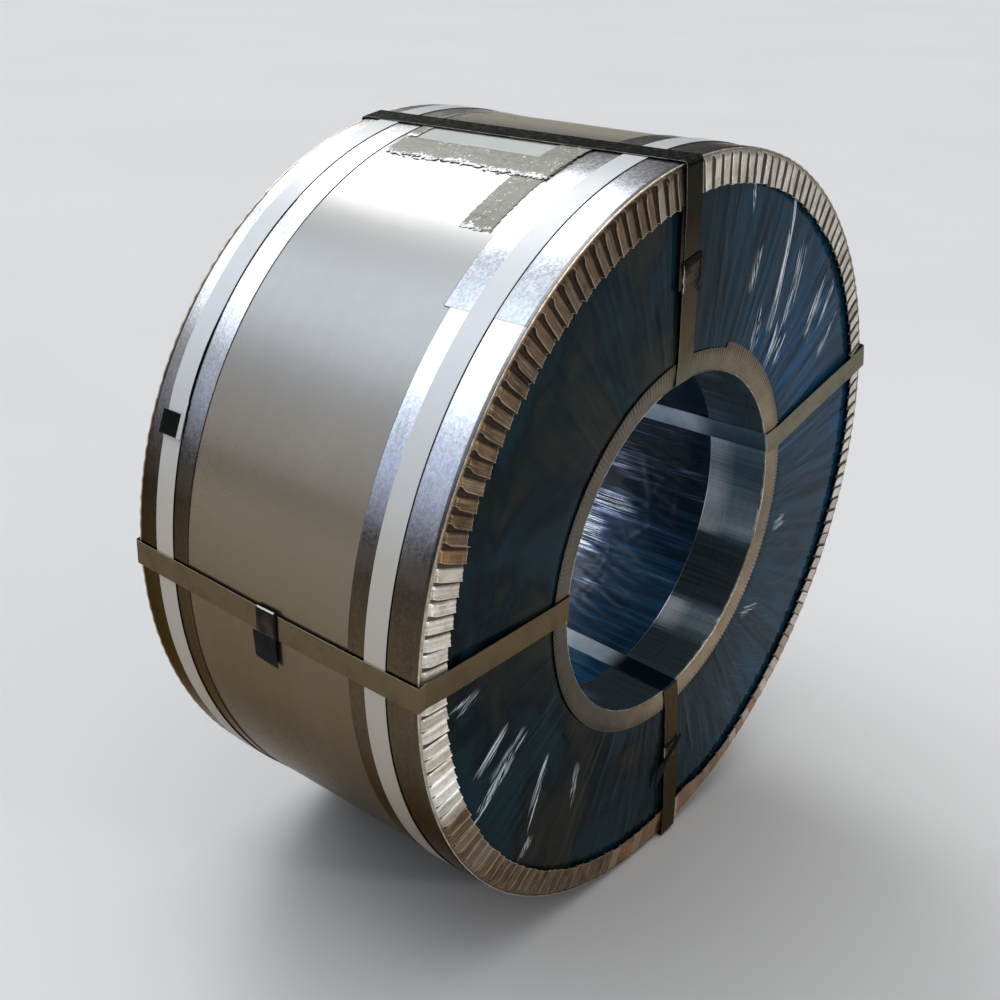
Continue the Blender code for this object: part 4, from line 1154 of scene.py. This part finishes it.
sheet_on_barrel("label", ["label_sheet"], (95.4, 103.6), (LABEL_LOW, LABEL_HIGH), LABEL_R, LABEL_T, label_paper(),
                "label_paper", 40, 60, 71, (0, 0, 0, 0), 0.0002)
for name, node, angles, heights, above, nu, nv, seed, ragged, swell in [
    ("side_tape", ["label_tape"], (103.1, 108.3), (LABEL_LOW - 0.012, LABEL_HIGH + 0.046), SIDE_TAPE_R,
     40, 150, 81, (0.010, 0.0, 0.003, 0.003), 0.0006),
    ("front_tape", ["label_tape_front"], (95.4, 108.6), (LABEL_HIGH - 0.004, LABEL_HIGH + 0.044), FRONT_TAPE_R,
     100, 36, 91, (0.008, 0.0, 0.001, 0.002), 0.0004),
    ("loose_strip", ["loose_tape"], (107.4, 120.4), (STRIP_HIGH - STRIP_WIDE, STRIP_HIGH), LABEL_R,
     90, 34, 101, (0.006, 0.0, 0.002, 0.002), 0.0005),
    ("back_tape", [], (97.0, 103.0), (RIM - 0.407, RIM - 0.388), BACK_TAPE_R,
     30, 12, 111, (0.004, 0.004, 0.001, 0.001), 0.0003),
]:
    sheet_on_barrel(name, node, angles, heights, above, TAPE_T, tape_skin, "packing_tape", nu, nv, seed, ragged, swell)
torn_scraps("torn_scraps", 20, 121)


# Floor, sky and lamp.
def build_floor():
    mesh = bpy.data.meshes.new("floor")
    mesh.from_pydata([(-60, -60, 0), (60, -60, 0), (60, 60, 0), (-60, 60, 0)], [], [(0, 1, 2, 3)])
    n = Nodes("floor_plain")
    n.colour = n.mix(n.noise(0.7, 3.0, 0.5), (0.56, 0.56, 0.555), (0.60, 0.60, 0.595))
    mesh.materials.append(n.finish(0.9, 0.0, 0.1))
    floor = added("floor", mesh)


# Soft windows in the sky: azimuth from +X towards +Y, elevation, inner and outer radius in degrees, light.
WINDOWS = [
    (62, 44, 5, 17, (7.0, 7.1, 7.3)),
    (72, 50, 8, 42, (1.0, 1.04, 1.10)),
    (117, 46, 8, 22, (1.60, 1.72, 1.87)),
    (139, 24, 4, 24, (0.70, 0.79, 0.98)),
]


def build_sky():
    world = bpy.data.worlds.new("sky")
    bpy.context.scene.world = world
    n = Nodes("sky", world)
    height = n.split(n.place)[2]
    total = n.ramp(height, (0.0, (0.10, 0.09, 0.085)), (0.30, (0.14, 0.14, 0.14)), (0.60, (0.35, 0.36, 0.38)),
                   (0.80, (0.50, 0.51, 0.53)), (0.95, (1.0, 1.0, 1.0)))
    total = n.mix(1.0, total, height.fade(0.86, 0.97), "ADD")
    for azimuth, elevation, inner, outer, light in WINDOWS:
        az, el = math.radians(azimuth), math.radians(elevation)
        middle = (math.cos(el) * math.cos(az), math.cos(el) * math.sin(az), math.sin(el))
        near = n.new("ShaderNodeVectorMath", {0: n.place, 1: middle}, "Value", operation="DOT_PRODUCT")
        limits = {"From Min": math.cos(math.radians(outer)), "From Max": math.cos(math.radians(inner))}
        share = n.new("ShaderNodeMapRange", {"Value": near, **limits}, "Result", interpolation_type="SMOOTHSTEP")
        lit = n.new("ShaderNodeVectorMath", {0: light, "Scale": share}, operation="SCALE")
        total = n.new("ShaderNodeVectorMath", {0: total, 1: lit}, operation="ADD")
    background = n.tree.nodes["Background"]
    n.put(background.inputs["Color"], total)
    background.inputs["Strength"].default_value = 1.0


def build_lamp(at, target, size, power, colour):
    data = bpy.data.lights.new("front_lamp", "AREA")
    data.shape = "RECTANGLE"
    data.size, data.size_y = size, size
    data.energy = power
    data.color = colour
    item = added("front_lamp", data)
    item.location = at
    item.rotation_mode = "QUATERNION"
    item.rotation_quaternion = (Vector(target) - Vector(at)).to_track_quat("-Z", "Y")


build_floor()
build_sky()
build_lamp((0.3, -3.8, 1.3), (0.0, 0.0, 0.5), 0.25, 24.0, (1.0, 0.98, 0.95))

bpy.context.scene.view_settings.view_transform = "Standard"
